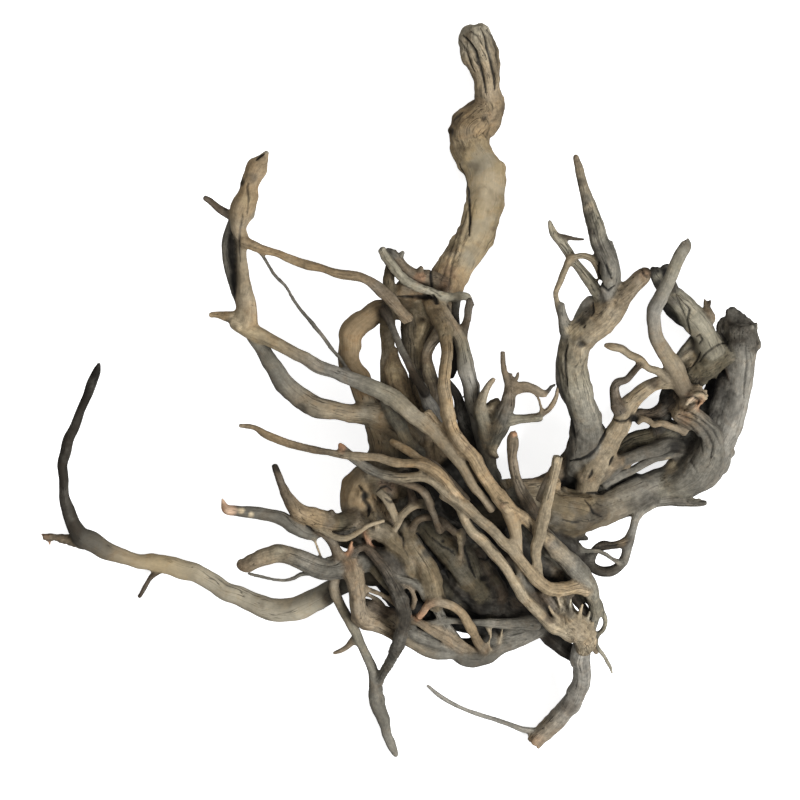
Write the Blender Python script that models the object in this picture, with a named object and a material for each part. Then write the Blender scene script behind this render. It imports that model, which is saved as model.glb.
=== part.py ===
"""A dark moor wood root, lying on the floor: one grown piece of wood with many limbs and rootlets.

Every limb is a tapering tube along a route of hand-placed points. The routes are laid out on a plan of
square cells, seen from a point high above the middle of the plan, with a height above the floor and a
half thickness at each point, all in cells. The tubes are fused into one solid, and the floor trims it
flat where it rests.
"""

from math import radians

import bmesh
import bpy
from mathutils import Vector

# Driving dimensions, in metres
PLAN_LENGTH = 0.601
PLAN_LENGTH_CELLS = 733
CELL = PLAN_LENGTH / PLAN_LENGTH_CELLS
EYE_HEIGHT = 2.5

# Plan of the root, in cells
PLAN_CENTRE = 400
BASE_CENTRE_ACROSS = 396.12
BASE_CENTRE_DOWN = 394.2
FLOOR_TRIM = 1.5
THINNEST = 1.3

# Facets of the tubes: (half thickness in cells below which it holds, bevel resolution)
FACETS = ((5.2, 0), (12, 1), (19, 2), (100, 3))
CURVE_STEPS = 6
SHAPE_TOLERANCE = 0.6
SHAPE_TOLERANCE_SHARE = 0.1
MOST_TRIANGLES = 11500
WELD_DISTANCE = 1e-6
SHARP_ANGLE = radians(60)

# Weathered grey-brown wood
WOOD_COLOUR = (0.19, 0.14, 0.095, 1.0)
WOOD_ROUGHNESS = 0.86

# Routes as (cells across, cells down, height, half thickness)
TRUNKS = {
    "top_trunk": [
        (474, 30, 44, 14), (475, 38, 44, 17), (480, 49, 42, 18.5), (485.5, 62, 38, 17),
        (488.5, 77, 34, 14.6), (488.5, 90, 30, 13.6), (490, 99, 27, 15), (490.5, 108, 24, 17),
        (481, 119, 21, 20.4), (470, 130, 20, 21), (469.5, 143, 20, 20.5), (475, 156, 24, 19),
        (480.5, 169, 30, 18.6), (484.2, 183, 36, 18.8), (483.2, 198, 42, 19.4), (481.6, 212, 48, 19.8),
        (477, 227, 54, 19), (470, 242, 60, 18.5), (462, 257, 66, 18.5), (454, 272, 72, 18.5),
        (447, 286, 78, 18.5), (440, 300, 85, 18), (434, 314, 90, 17), (428, 330, 95, 14),
        (420, 350, 98, 10), (418, 375, 98, 9), (425, 405, 98, 14), (432, 440, 95, 20), (440, 480, 90, 24),
    ],
    "right_trunk": [
        (470, 520, 85, 24), (505, 508, 85, 22), (535, 503, 80, 19), (560, 510, 70, 22), (580, 513, 60, 21),
        (600, 510, 52, 17), (616, 503, 46, 15.5), (633, 495, 40, 17), (651, 487, 34, 15.5),
        (668, 482, 28, 17), (686, 477.5, 24.5, 22), (701, 465.5, 23.5, 25.5), (713, 449.5, 28, 22),
        (723.5, 432, 34, 16.5), (732, 415, 40, 14), (736.8, 397, 46, 13), (741, 378, 52, 13),
        (742, 360, 58, 14.6), (742, 348, 63, 16.6), (740.5, 338, 66, 17), (741.5, 329, 69, 17),
    ],
    "twisted_hook": [
        (652, 492, 32, 13), (668, 488, 38, 15), (684, 480, 42, 17), (698, 469, 47, 17),
        (708, 455, 54, 15.5), (711.5, 441, 61, 13.5), (706, 429, 66, 12), (696, 420, 72, 11),
        (684, 415, 76, 10), (676, 412, 78, 8),
    ],
    "hook_knob": [(684, 412, 78, 9), (690, 402, 84, 11), (697, 394, 88, 11), (701, 391, 90, 8)],
    "stump_limb": [
        (738, 349, 62, 12), (725, 353, 66, 13.5), (711, 362, 68, 15.5), (698, 373, 68, 14.5),
        (690, 386, 66, 11), (686, 398, 64, 8),
    ],
    "hollow_back": [
        (736, 390, 48, 10), (722, 395, 44, 9), (708, 404, 40, 9), (698, 420, 40, 10), (700, 445, 34, 14),
    ],
    "pale_limb": [
        (712, 352, 72, 15), (706, 335, 78, 13), (694.5, 319, 84, 13.5), (683.5, 304, 90, 12),
        (673, 293.5, 95, 10), (661, 283, 100, 8.4), (655, 273, 104, 6.2), (654.5, 268, 105, 4.6),
    ],
    "pale_limb_stub": [(672, 290, 98, 7), (668, 276, 102, 5.5), (666, 266, 105, 4.5)],
    "brown_curl": [
        (699, 333, 74, 6), (695, 340, 70, 4.4), (695, 349, 68, 5.4), (688, 355, 66, 6), (677, 361, 66, 5),
    ],
    "fork_twig": [(708, 324, 80, 5), (712, 318, 84, 4), (707, 308, 86, 3.5), (704, 299, 88, 1.5)],
    "fork_prong": [(707, 311, 86, 3), (709, 304, 88, 2.4), (710.5, 300, 89, 1.6)],
    "curvy_limb": [
        (690, 402, 80, 8), (684, 390, 88, 9), (678, 378, 95, 9.5), (673, 365, 102, 9.4), (665, 351, 110, 8),
        (656.5, 338, 117, 7.3), (653.5, 324, 124, 7.3), (654, 310, 130, 7.3), (660, 297, 136, 7.5),
        (667, 283, 142, 6.7), (674, 269, 148, 6.5), (680, 256, 153, 6.5), (686, 246, 157, 6),
        (685, 241, 158, 4.5),
    ],
    "wavy_twig": [
        (668, 380, 96, 6), (658, 372, 98, 4.2), (648, 368, 100, 4), (640, 360, 103, 4.6),
        (630, 355, 105, 4), (621, 348, 107, 4.2), (612, 346, 109, 4), (604, 345, 110, 1.8),
    ],
    "dropping_twig": [
        (640, 363, 103, 4), (633, 371, 100, 4), (626, 379, 97, 4.2), (617, 382, 94, 4.6), (614, 389, 91, 5),
        (616, 399, 88, 6), (620, 409, 84, 9),
    ],
    "ringed_limb": [
        (670, 380, 94, 8), (656, 383.5, 90, 7), (645.5, 389, 88, 8), (634, 399, 84, 9),
        (625, 411, 80, 10.8), (619, 426, 76, 10.2), (611, 440, 73, 10.6), (604, 453, 71, 11.5),
        (597, 466, 70, 14), (591, 478, 66, 13), (586, 488, 56, 11),
    ],
    "dark_bridge": [
        (678, 392, 76, 8), (667, 405, 66, 8), (653, 413, 64, 5.6), (640, 415, 66, 6), (624, 417, 72, 6),
    ],
    "dark_column": [(668, 390, 66, 7.5), (665, 408, 58, 8.5), (659, 422, 54, 9), (656, 438, 50, 8)],
    "pale_arc": [
        (637, 421, 72, 4), (642, 418.5, 74, 3.2), (648.5, 420.5, 74, 3.2), (654, 424.5, 74, 3.2),
        (660.5, 422.5, 74, 3.4), (667.5, 424.5, 74, 3.6), (675, 428, 72, 3.6), (685, 431, 66, 6),
    ],
    "upper_strap": [
        (598, 474, 62, 10), (612, 467, 66, 8.5), (626, 460, 66, 7), (643, 454, 64, 6.8),
        (657, 448.5, 62, 7.6), (668, 446, 58, 7.6), (680, 446, 48, 7),
    ],
    "lower_strap": [
        (604, 482, 54, 8), (616, 476, 56, 6), (630, 471.5, 54, 4.6), (644, 464, 52, 4.6), (656, 457, 52, 5),
        (668, 452, 50, 7), (680, 452, 44, 8), (692, 452, 38, 9),
    ],
    "dark_strap": [
        (606, 456, 58, 9), (630, 442, 50, 8), (650, 437, 50, 8), (668, 432, 50, 8), (684, 427, 52, 9),
        (700, 430, 52, 10),
    ],
    "fork_stem": [
        (570, 494, 38, 12), (573, 478, 44, 13), (577, 464, 56, 15), (584.5, 448, 72, 15.4),
        (588, 431, 86, 15.4), (586, 414, 97, 14.6), (579.5, 398, 105, 14.2), (576, 382, 112, 13.8),
        (573.5, 366, 119, 14), (574, 352, 125, 15.5), (577, 340, 130, 15.5), (590, 328, 136, 16),
        (604, 317, 142, 16), (613.5, 304.5, 148, 13.4), (622.5, 295, 153, 10.8), (632, 287, 158, 8.8),
        (641, 278.5, 162, 8), (646, 273, 165, 6.5), (650, 271, 166, 3),
    ],
    "scarred_limb": [(576, 342, 126, 12), (583, 326, 127, 12), (588, 312, 130, 10), (594, 301, 136, 9)],
    "stem_strand": [
        (579, 410, 96, 7), (564, 386, 100, 6.4), (560, 368, 105, 6), (562, 350, 112, 6), (568, 335, 120, 8),
    ],
    "fork_left": [(574, 342, 128, 10), (566, 327, 132, 7.5), (563, 315, 136, 5), (561, 304, 138, 4.2)],
    "curl": [
        (566, 324, 132, 6), (560, 312, 134, 4.2), (557, 302, 138, 3.2), (556, 292, 142, 3),
        (561, 280, 146, 4), (564.5, 270, 150, 4), (569, 260, 154, 4), (576, 257, 157, 3.5),
        (584, 256, 158, 3.6), (592, 259, 158, 4.2), (598, 266, 155, 5), (603, 277, 152, 6),
    ],
    "straight_twig": [
        (604, 300, 146, 9), (592, 284.5, 146, 6), (581, 270.5, 147, 5.2), (570.5, 257, 148, 5),
        (562, 245, 150, 5), (554, 236, 152, 5), (551, 228, 154, 3.4), (549, 221, 156, 2.2),
    ],
    "side_twig": [(555, 236, 152, 3.5), (565, 237, 152, 2.9), (575, 239, 152, 2.4), (584, 239, 152, 1.8)],
    "spike": [
        (609, 300, 150, 8), (608, 290, 156, 8), (609, 278, 160, 8.5), (608, 264, 162, 9),
        (604, 250, 165, 9), (599, 236, 170, 8.8), (594, 221, 175, 8.2), (589, 206, 180, 7),
        (585, 192, 184, 5.8), (581, 178, 188, 5), (578, 166, 191, 4.6), (575.5, 157, 193, 3),
    ],
    "spike_strand": [
        (612, 292, 154, 5), (616, 284, 156, 4), (616, 268, 160, 4), (613, 252, 164, 3), (611, 241, 166, 2),
    ],
    "spike_nub": [(613, 291, 152, 5), (621, 284, 154, 3.5)],
    "cut_flake": [(728, 346, 62, 6), (723, 336, 66, 5), (720, 327, 68, 4), (722, 320, 69, 2.4)],
    "cut_corner": [(738, 330, 68, 9), (731, 317, 72, 6), (729, 309, 74, 3)],
    "hollow_wall": [
        (730, 360, 44, 9), (722, 378, 40, 13), (719, 400, 36, 14), (715, 420, 32, 14), (704, 440, 28, 14),
    ],
    "hollow_rod": [(722, 356, 60, 3), (727, 370, 58, 2.6), (731, 384, 56, 2.6), (735, 396, 50, 3)],
    "hollow_slab": [(722, 380, 52, 5), (719, 394, 52, 6), (714, 408, 50, 6), (706, 424, 46, 8)],
    "base_lump": [
        (628, 462, 62, 7), (612, 464, 66, 9), (600, 470, 68, 12), (590, 474, 68, 12), (582, 470, 62, 9),
    ],
    "low_lip": [
        (588, 490, 44, 8), (602, 486, 42, 8), (616, 480.5, 40, 7), (628, 476.5, 36, 4.6), (638, 477, 34, 4),
    ],
    "trunk_rib": [
        (668, 476, 28, 9), (677, 462, 36, 9), (686, 450, 42, 8), (694, 438, 46, 8), (704, 430, 48, 9),
    ],
    "stem_foot": [
        (577, 440, 66, 9), (572, 453, 58, 9), (566, 463, 54, 9), (557, 472, 54, 8), (546, 480, 58, 7),
        (532, 487, 64, 7),
    ],
    "curl_back": [(692, 324, 78, 7), (681, 316, 78, 7.5), (671, 308, 78, 7), (664, 302, 84, 6)],
    "column_web": [(588, 418, 84, 8), (599, 431, 70, 6), (609, 442, 66, 6)],
    "stump_back": [
        (697, 336, 68, 7), (690, 345, 67, 6.6), (683, 354, 66, 6.4), (677, 364, 68, 7), (680, 376, 72, 8),
    ],
}

UPPER_LEFT = {
    "spear": [
        (246, 326, 150, 13), (245.5, 305, 152, 10.8), (244, 292, 154, 8), (243, 280, 157, 5.8),
        (242, 266, 160, 5.4), (241.5, 252, 163, 4.8), (242.5, 240, 166, 6), (240, 228, 169, 7.4),
        (241.5, 218, 171, 10), (244, 207, 174, 12), (246.5, 196, 177, 10.6), (249, 186, 180, 9.3),
        (253.5, 176, 183, 9.8), (258, 167, 186, 10.4), (262, 160, 188, 6.6), (265.5, 154, 190, 3.6),
        (267, 151, 191, 2.2),
    ],
    "spear_back": [
        (241, 306, 146, 5), (236, 291, 145, 4.5), (231.5, 278, 146, 4.5), (227, 262, 148, 4.5),
        (227, 247, 151, 4.5), (229, 233, 155, 4.5), (235, 220, 162, 6), (240, 212, 168, 6),
    ],
    "spear_web": [(240, 295, 150, 5), (236, 275, 150, 5), (234, 255, 152, 5.5), (235, 235, 158, 5.5)],
    "spear_twig": [
        (238, 217, 169, 6), (229, 214.5, 168, 4.8), (219.5, 209, 169, 4.4), (211, 202, 170, 4),
        (204, 197.5, 171, 3),
    ],
    "spear_stub": [(238, 315, 150, 5), (226, 317, 150, 5.4), (217, 315, 150, 3.4), (210, 315, 150, 2.8)],
    "spear_knot": [(247, 184, 178, 5), (241.5, 183, 177, 3.5)],
    "cross_root": [
        (243, 240, 168, 6), (253, 246, 172, 5.3), (263, 250, 174, 4.5), (276, 253.5, 176, 4.3),
        (290, 258.5, 178, 4.3), (305, 264.5, 180, 4.6), (320, 268.5, 182, 4.8), (335, 273, 184, 5),
        (350, 275.5, 184, 5), (362, 277.5, 182, 5.3), (372, 282, 178, 6), (381, 290, 174, 6.6),
        (391, 301, 168, 6.4), (400, 310, 162, 6.2), (409, 318.5, 155, 6.2),
    ],
    "thin_rootlet": [
        (258, 248, 172, 3), (266, 261, 170, 2.1), (275, 276, 168, 2.1), (286, 287, 166, 2),
        (293.5, 300, 163, 2.2), (301.5, 311, 160, 2.4), (311, 322, 158, 2.6), (321.5, 334.5, 157, 2.5),
        (331.5, 348, 158, 2.5), (341, 359, 160, 2.4), (347, 369, 164, 2.6), (354, 378, 168, 3),
    ],
    "knee_root": [
        (233, 322, 150, 7.5), (244, 326, 151, 9.5), (258, 335, 152, 8.5), (273, 342.5, 154, 7),
        (290, 350.5, 157, 6.3), (305, 358.5, 160, 6.5), (320, 367, 163, 6.8), (335, 372.5, 166, 6.6),
        (350, 378.5, 169, 7), (365, 385, 172, 8), (380, 390.5, 175, 9.3), (392, 396.5, 177, 10.2),
        (402, 405, 179, 9.5), (412, 414.5, 181, 8.5), (422, 423, 183, 7.2), (432, 432.5, 185, 6.6),
        (442, 443, 187, 6), (452, 454, 189, 5.8), (460, 464, 190, 5.5), (468, 477, 190, 5.2),
        (475, 488, 188, 4.8), (483, 499, 184, 4.5), (492, 510, 178, 5),
    ],
    "lower_knee_root": [
        (244, 322, 148, 9), (252, 333, 146, 8.5), (262.5, 348.5, 140, 8), (273, 366, 134, 9),
        (289, 388, 128, 10.2), (304, 401, 124, 11), (322, 408.5, 121, 11.2), (340, 411.5, 120, 10),
        (360, 413.5, 120, 10.8), (377, 415, 120, 12), (392, 422, 118, 12), (410, 440, 108, 14),
    ],
    "loop_root": [
        (424, 308, 98, 13), (402, 306, 108, 13), (388, 309, 111, 11), (373, 314, 112, 11.5),
        (359, 323, 112, 12), (350, 336, 112, 11.8), (348.5, 350, 112, 11.5), (351.5, 364, 112, 11.4),
        (358, 378, 112, 11.6), (364, 393, 112, 11.5), (371, 408, 110, 12), (377, 424, 108, 13),
        (381, 440, 105, 14), (384, 455, 102, 16), (377, 474, 98, 18.4), (365, 490, 97, 21),
        (362, 507, 96, 20), (372, 522, 95, 18), (390, 535, 92, 18),
    ],
    "grey_strand": [
        (382, 249, 148, 4.2), (387, 258, 148, 5), (394, 267, 147, 4.8), (401, 276, 145, 4.8),
        (410, 283, 142, 4.8), (420, 288, 140, 4.4), (430, 291.5, 137, 4.4), (442, 296, 134, 5.2),
        (454, 297, 132, 5), (464, 296.5, 132, 4.6), (470, 299, 132, 3.8),
    ],
    "brown_ridge": [
        (393, 252, 138, 5), (398, 260, 136, 5.6), (405, 269.5, 132, 6.8), (416, 277, 127, 8),
        (428, 280, 118, 10), (441, 286, 104, 12),
    ],
    "ridge_nub": [(400, 258, 137, 4), (403.5, 251.5, 138, 2.5)],
    "ridge_nub_low": [(419, 274, 130, 5), (422, 267, 132, 2.8)],
    "tan_lump": [(400, 288, 120, 12), (414, 294, 116, 14), (430, 304, 112, 15), (442, 318, 110, 12)],
    "dark_post": [
        (394, 256, 132, 5), (389, 276, 128, 5.5), (390, 292, 125, 6), (389, 310, 122, 7),
        (388, 326, 120, 7.5), (388, 340, 118, 7), (387, 352, 116, 5.5), (383.5, 365, 114, 3.4),
        (383, 380, 112, 2.8), (386, 396, 110, 5),
    ],
    "slanting_strand": [
        (384, 309, 128, 5), (390, 323, 134, 4), (396, 335, 142, 3.8), (401, 347, 144, 4),
        (407, 359, 146, 4.2), (412, 371, 148, 4.2), (418, 383, 148, 4.4), (426, 394, 146, 5),
    ],
    "dark_brown_post": [
        (410, 314, 112, 9), (410, 340, 110, 8.4), (412, 356, 108, 8), (416, 372, 106, 7),
        (419, 390, 104, 6), (420, 412, 102, 7),
    ],
    "tan_wedge": [
        (392, 350, 116, 5), (394, 358, 118, 6), (396, 370, 118, 11), (398, 382, 120, 12),
        (402, 396, 122, 11), (410, 412, 118, 10),
    ],
    "pale_wedge": [(422, 326, 112, 8), (421, 336, 114, 6), (421, 350, 114, 4.5), (420, 366, 110, 4)],
    "pale_post": [
        (444, 318, 122, 9), (440, 332, 127, 7), (430, 345, 124, 5.4), (426, 358, 120, 5.5),
        (428.5, 372, 118, 7), (432.5, 385, 116, 7.6), (434, 400, 114, 7), (436, 415, 112, 8),
        (438, 432, 108, 10),
    ],
    "pale_grey_strand": [
        (384, 398, 124, 6), (388, 407, 130, 6), (394, 418, 132, 7.5), (401, 431, 132, 7.5),
        (408, 443, 128, 7), (418, 456, 116, 9),
    ],
    "grey_blue_strand": [
        (420, 384, 140, 5), (424, 393, 140, 5.4), (430, 405, 140, 7), (435, 418, 134, 7),
        (440, 434, 120, 8),
    ],
    "brown_strip": [
        (426, 414, 178, 6), (436, 425, 179, 5.4), (446, 438, 181, 5), (457, 451, 183, 5),
        (468, 466, 183, 5.5), (478, 480, 180, 5),
    ],
    "spear_shoulder": [(250, 216, 172, 6), (252, 205, 174, 5), (252, 194, 176, 4.6), (252, 184, 179, 4)],
    "left_knob": [(386, 252, 142, 4.6), (393, 254, 139, 5.6)],
}

CENTRE = {
    "long_brown_root": [
        (436, 308, 126, 12), (438, 318, 144, 9), (443, 330, 156, 8), (446.5, 345, 165, 6),
        (446, 360, 172, 5.6), (445, 375, 177, 6), (444, 390, 181, 6.8), (446, 405, 185, 7),
        (449.5, 419, 188, 6.6), (454, 431, 191, 6.6), (461, 442, 193, 6.6), (469, 452, 195, 6.8),
        (477, 462, 196, 7), (484, 474, 196, 6.6), (491, 487, 195, 6.6), (499, 498, 193, 7.6),
        (506, 505, 191, 7.6), (514, 511.5, 187, 6.4), (523, 518, 182, 5.8), (531, 525.5, 177, 5.8),
        (539, 534, 171, 6.4), (548, 543, 165, 8), (558, 552, 158, 9.2), (569, 562, 151, 9.8),
        (580, 572.5, 144, 9.9), (588.5, 584, 136, 9.2), (593.5, 596, 128, 7.2), (594, 612, 112, 6.8),
        (590, 627, 96, 7.4), (584, 641, 80, 9), (581, 656, 62, 9.5), (581, 670, 48, 9), (580, 683, 36, 9.2),
        (576, 695, 27, 9.5), (568, 708, 20, 9.7), (556, 720.5, 14, 9.7), (544, 733, 10, 9.2),
        (535, 742, 8, 8.2),
    ],
    "down_branch": [
        (503, 501, 189, 7), (509, 512, 188, 7.2), (513.5, 525, 186, 7), (516.5, 539, 181, 6.4),
        (518, 553, 175, 5.8), (520, 566, 168, 5.6), (524, 579, 160, 5.6), (529, 591, 152, 6),
    ],
    "smooth_grey_root": [
        (436, 302, 128, 8), (443, 311, 138, 6), (449, 321, 143, 6), (455, 331, 146, 6.8),
        (461, 342, 148, 7), (463.8, 354, 150, 7.2), (466, 367, 151, 8.4), (469, 381, 151, 8.6),
        (472, 394, 150, 8.6), (475, 408, 148, 7.5), (478, 424, 144, 7), (482, 442, 140, 6.5),
        (487, 460, 136, 6.5), (493, 478, 130, 7), (500, 495, 120, 9),
    ],
    "reddish_stub": [
        (461, 338, 146, 6), (463, 330, 146, 5), (467, 318, 147, 4.2), (469, 306, 147, 4),
        (470, 299, 147, 3.5),
    ],
    "stub_nub": [(469, 306, 147, 3), (474, 304, 148, 1.8)],
    "dark_sliver": [(456, 326, 136, 5), (456, 312, 130, 4.6), (456.5, 300, 128, 5)],
    "upper_runner": [
        (239.5, 426, 150, 2.4), (250, 426.5, 151, 2.9), (257, 428.5, 152, 3.2), (265, 434, 154, 4.3),
        (275, 438.5, 156, 4.4), (288, 443.5, 158, 4.1), (300, 446.5, 160, 4), (315, 449.5, 162, 3.8),
        (330, 452, 164, 3.9), (345, 455, 167, 4), (360, 456, 171, 4.3), (376, 457.5, 175, 4.4),
        (391, 461.5, 178, 4.5), (405, 463.5, 181, 4.6), (417, 464, 184, 5), (428, 466.5, 187, 6),
        (437, 472.5, 189, 6.4), (446, 482, 190, 6), (455, 493, 189, 5.6), (463, 501, 187, 5),
        (471, 508.5, 185, 5),
    ],
    "lower_runner": [
        (339, 444, 163, 2.5), (343, 449, 163, 4.4), (352, 456.5, 164, 4.8), (363, 465, 165, 5),
        (377, 472.5, 167, 5), (391, 476, 171, 4.9), (405, 477.5, 176, 4.9), (419, 476, 181, 5),
        (431, 478, 184, 5.4), (441, 485.5, 186, 5.6), (451, 495, 187, 5.6), (461, 503, 188, 5.5),
        (471, 510.5, 188, 5.6), (481, 519, 188, 5.8), (491, 528.5, 187, 5.8), (501, 538, 186, 5.9),
        (511, 548, 184, 6), (520, 559, 180, 6), (529, 570.5, 175, 6), (538, 581, 169, 6.4),
        (549, 588.5, 162, 6.8), (562, 590, 152, 7), (576, 587, 144, 7), (588, 588, 136, 8),
    ],
    "runner_strand": [
        (378, 474, 166, 5), (388, 479, 167, 3.8), (400, 481.5, 167, 3.7), (412, 484.5, 167, 3.8),
        (421, 490.5, 166, 4), (427.5, 499, 163, 4), (431, 507.5, 157, 3.9), (434, 515, 148, 3.4),
        (436, 522, 136, 3.4), (440, 530, 118, 4.5),
    ],
    "middle_root": [
        (444, 494, 182, 5.6), (458, 508, 180, 4.8), (465, 519, 181, 5), (471.5, 530, 181, 5.2),
        (480.5, 538.5, 181, 5.5), (490, 549, 180, 5.8), (499, 558.5, 178, 5.6), (506, 570, 174, 5),
        (512, 580, 170, 4.8), (519.5, 591, 164, 5), (528, 602, 158, 5.4), (537, 612, 150, 5.6),
        (547, 622, 142, 6), (559, 630, 132, 7), (573, 636, 118, 8),
    ],
    "between_strand": [
        (508, 556, 168, 6), (516, 570, 160, 5.4), (524, 583, 156, 5.5), (532, 596, 150, 6),
        (540, 610, 140, 7), (556, 622, 128, 8),
    ],
    "short_strand": [
        (391, 441.5, 160, 3.6), (397, 445, 164, 4.4), (404, 449, 168, 4.4), (412, 453.5, 172, 4.4),
        (420, 459, 178, 4.6), (428, 464.5, 184, 5),
    ],
    "left_horn": [
        (494, 379, 168, 2.6), (487, 387, 166, 3.6), (483, 395, 164, 4.6), (481, 406, 160, 6.5),
        (482, 419, 156, 7.5), (486, 432, 150, 7.6), (490, 446, 142, 7), (491, 462, 132, 6.4),
        (494, 480, 120, 7),
    ],
    "cut_knob": [(491.5, 405.5, 152, 9), (497, 413, 150, 9), (498, 424, 146, 9)],
    "right_horn": [
        (508.5, 382, 173, 4.6), (509.5, 392, 170, 6), (508, 402, 166, 6.8), (505, 414, 161, 8.2),
        (501.5, 427, 155, 9.4), (495.5, 440, 148, 7.6), (490.5, 455, 140, 6), (491.5, 470, 130, 5.4),
        (497, 485, 118, 6.6), (510, 498, 104, 10),
    ],
    "horn_tip": [
        (502.5, 352, 186, 2.8), (503, 361, 183, 2.9), (504, 370, 180, 3.2), (507, 378, 176, 4),
        (510, 388, 171, 5),
    ],
    "horn_prong": [(508, 380, 175, 3), (512, 374, 177, 1.6)],
    "horn_fork": [(509, 386, 173, 3.4), (513, 383, 175, 2.6), (517, 378, 177, 2.2), (518, 372, 178, 1.6)],
    "horn_arm": [
        (510, 390, 170, 5), (521, 385.5, 172, 4.4), (530, 387, 173, 4.6), (539, 392, 174, 4.4),
        (546, 395, 174, 3),
    ],
    "burnt_tip": [(542, 393, 174, 3), (547, 392, 174, 2.6), (551, 387, 176, 2.3), (556, 384, 178, 1.4)],
    "thin_bow": [
        (512, 391.5, 168, 5), (522, 390.5, 168, 3.2), (531, 391, 168, 3), (537, 396.5, 167, 1.9),
        (540, 405, 166, 1.9), (541, 413, 165, 2.4),
    ],
    "cut_arm": [
        (503, 422, 159, 6), (516, 420, 161, 5), (527, 419, 162, 4.6), (536, 418.5, 163, 4.8),
        (541.5, 417.5, 163, 4.6),
    ],
    "thin_bow_low": [
        (536, 416, 163, 3.4), (547, 411, 165, 3), (553, 404, 168, 3), (556.5, 395, 171, 2.6),
        (557, 387, 174, 1.8),
    ],
    "horn_root": [(486, 448, 142, 5), (491, 463, 136, 4.8), (496, 480, 128, 5)],
    "horn_knob": [(491, 449, 146, 5), (495.5, 456, 147, 3.4), (498, 458, 148, 2.4)],
    "broken_stick": [
        (514, 432.5, 186, 3.5), (512.5, 441, 184, 5.6), (511, 452, 180, 5.4), (512.5, 464, 176, 5),
        (516, 477, 171, 5.3), (521, 490, 166, 5.8), (527, 503, 160, 6.4), (533, 516, 152, 7),
        (540, 530, 146, 8), (547, 543, 146, 9),
    ],
    "pale_stick": [
        (508.5, 480, 144, 3.4), (511.5, 486, 147, 4.2), (515, 495, 146, 5), (521, 508, 142, 5.6),
        (530, 524, 142, 7),
    ],
    "upright_stick": [
        (558, 457, 197, 5.4), (556.2, 464.5, 195, 4.8), (552.5, 480, 192, 4.8), (549, 494, 190, 5),
        (546, 507, 188, 5.8), (542.5, 521, 186, 6.8), (539, 535, 183, 6.6), (536, 549, 177, 5.8),
        (536, 562, 170, 5), (538, 574, 165, 5), (542, 586, 160, 5.5),
    ],
    "lower_right_knot": [
        (558, 596, 138, 8), (562, 607, 134, 9), (566, 618, 130, 12), (576, 626, 122, 14),
        (583, 634, 108, 12.5), (584, 648, 88, 10),
    ],
    "knot_strand_a": [(542, 590, 152, 6), (552, 605, 142, 5.6), (560, 616, 134, 7)],
    "knot_strand_b": [(572, 588, 140, 6), (566, 599, 138, 5), (566, 612, 132, 7)],
    "grey_panel": [
        (510, 492, 148, 8), (519, 503, 146, 10), (526, 517, 143, 11), (536, 530, 142, 11),
        (548, 543, 142, 11), (560, 555, 140, 11), (574, 568, 134, 11), (584, 582, 126, 10),
        (590, 598, 114, 8),
    ],
    "back_sliver": [(457, 332, 134, 5), (456, 350, 130, 3.8), (455, 364, 128, 4.6), (451, 377, 132, 4)],
    "back_strand": [
        (446, 382, 150, 5), (454, 391, 144, 4.4), (459, 402, 138, 5.4), (463, 416, 130, 7),
        (469, 431, 124, 8), (476, 447, 118, 8), (484, 464, 108, 10), (492, 482, 96, 12),
    ],
    "hollow_floor": [(446, 466, 110, 12), (460, 480, 104, 13), (476, 492, 96, 14), (494, 500, 90, 14)],
    "trunk_back": [(500, 491, 92, 10), (520, 488, 88, 9.4), (540, 486, 84, 8.6), (556, 482, 78, 8)],
    "stick_side": [(540, 500, 180, 5), (544, 490, 184, 4.6), (549, 479, 188, 4.4), (554, 468, 191, 4)],
    "dark_fill": [
        (512, 528, 134, 9), (520, 543, 132, 11), (531, 557, 130, 12), (543, 567, 128, 12),
        (556, 573, 124, 10), (570, 587, 118, 7),
    ],
    "panel_web": [(566, 586, 118, 6), (574, 596, 112, 6), (581, 606, 106, 5), (588, 618, 98, 5)],
    "knot_spike_a": [(566, 616, 134, 4), (561, 606, 147, 2.4), (557.5, 598, 153, 1.7)],
    "knot_spike_b": [(573, 620, 130, 4.4), (570, 607, 148, 2.3), (571, 599, 154, 1.6)],
    "knot_spike_c": [(578, 623, 126, 4.4), (580.5, 611, 142, 2.3), (582.5, 604, 147, 1.6)],
    "knot_spike_d": [(583, 628, 120, 4.4), (588, 618, 131, 2.3), (590, 611, 136, 1.6)],
    "knot_spike_e": [(584, 636, 108, 5), (591, 629, 121, 2.3), (593.5, 622, 127, 1.6)],
    "knot_spike_f": [(560, 624, 136, 4.4), (553, 614, 148, 2.3), (548, 606, 153, 1.6)],
    "under_runner": [
        (422, 459, 172, 4), (433, 464, 172, 4.2), (443, 472.5, 172, 4.2), (452, 482.5, 172, 4.2),
        (460, 492.5, 171, 4.2), (467, 502, 168, 4.4),
    ],
    "runner_core": [
        (392, 446, 96, 9), (397, 460, 98, 12), (399, 476, 98, 12), (400, 492, 96, 13), (404, 508, 90, 12),
    ],
}

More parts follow.
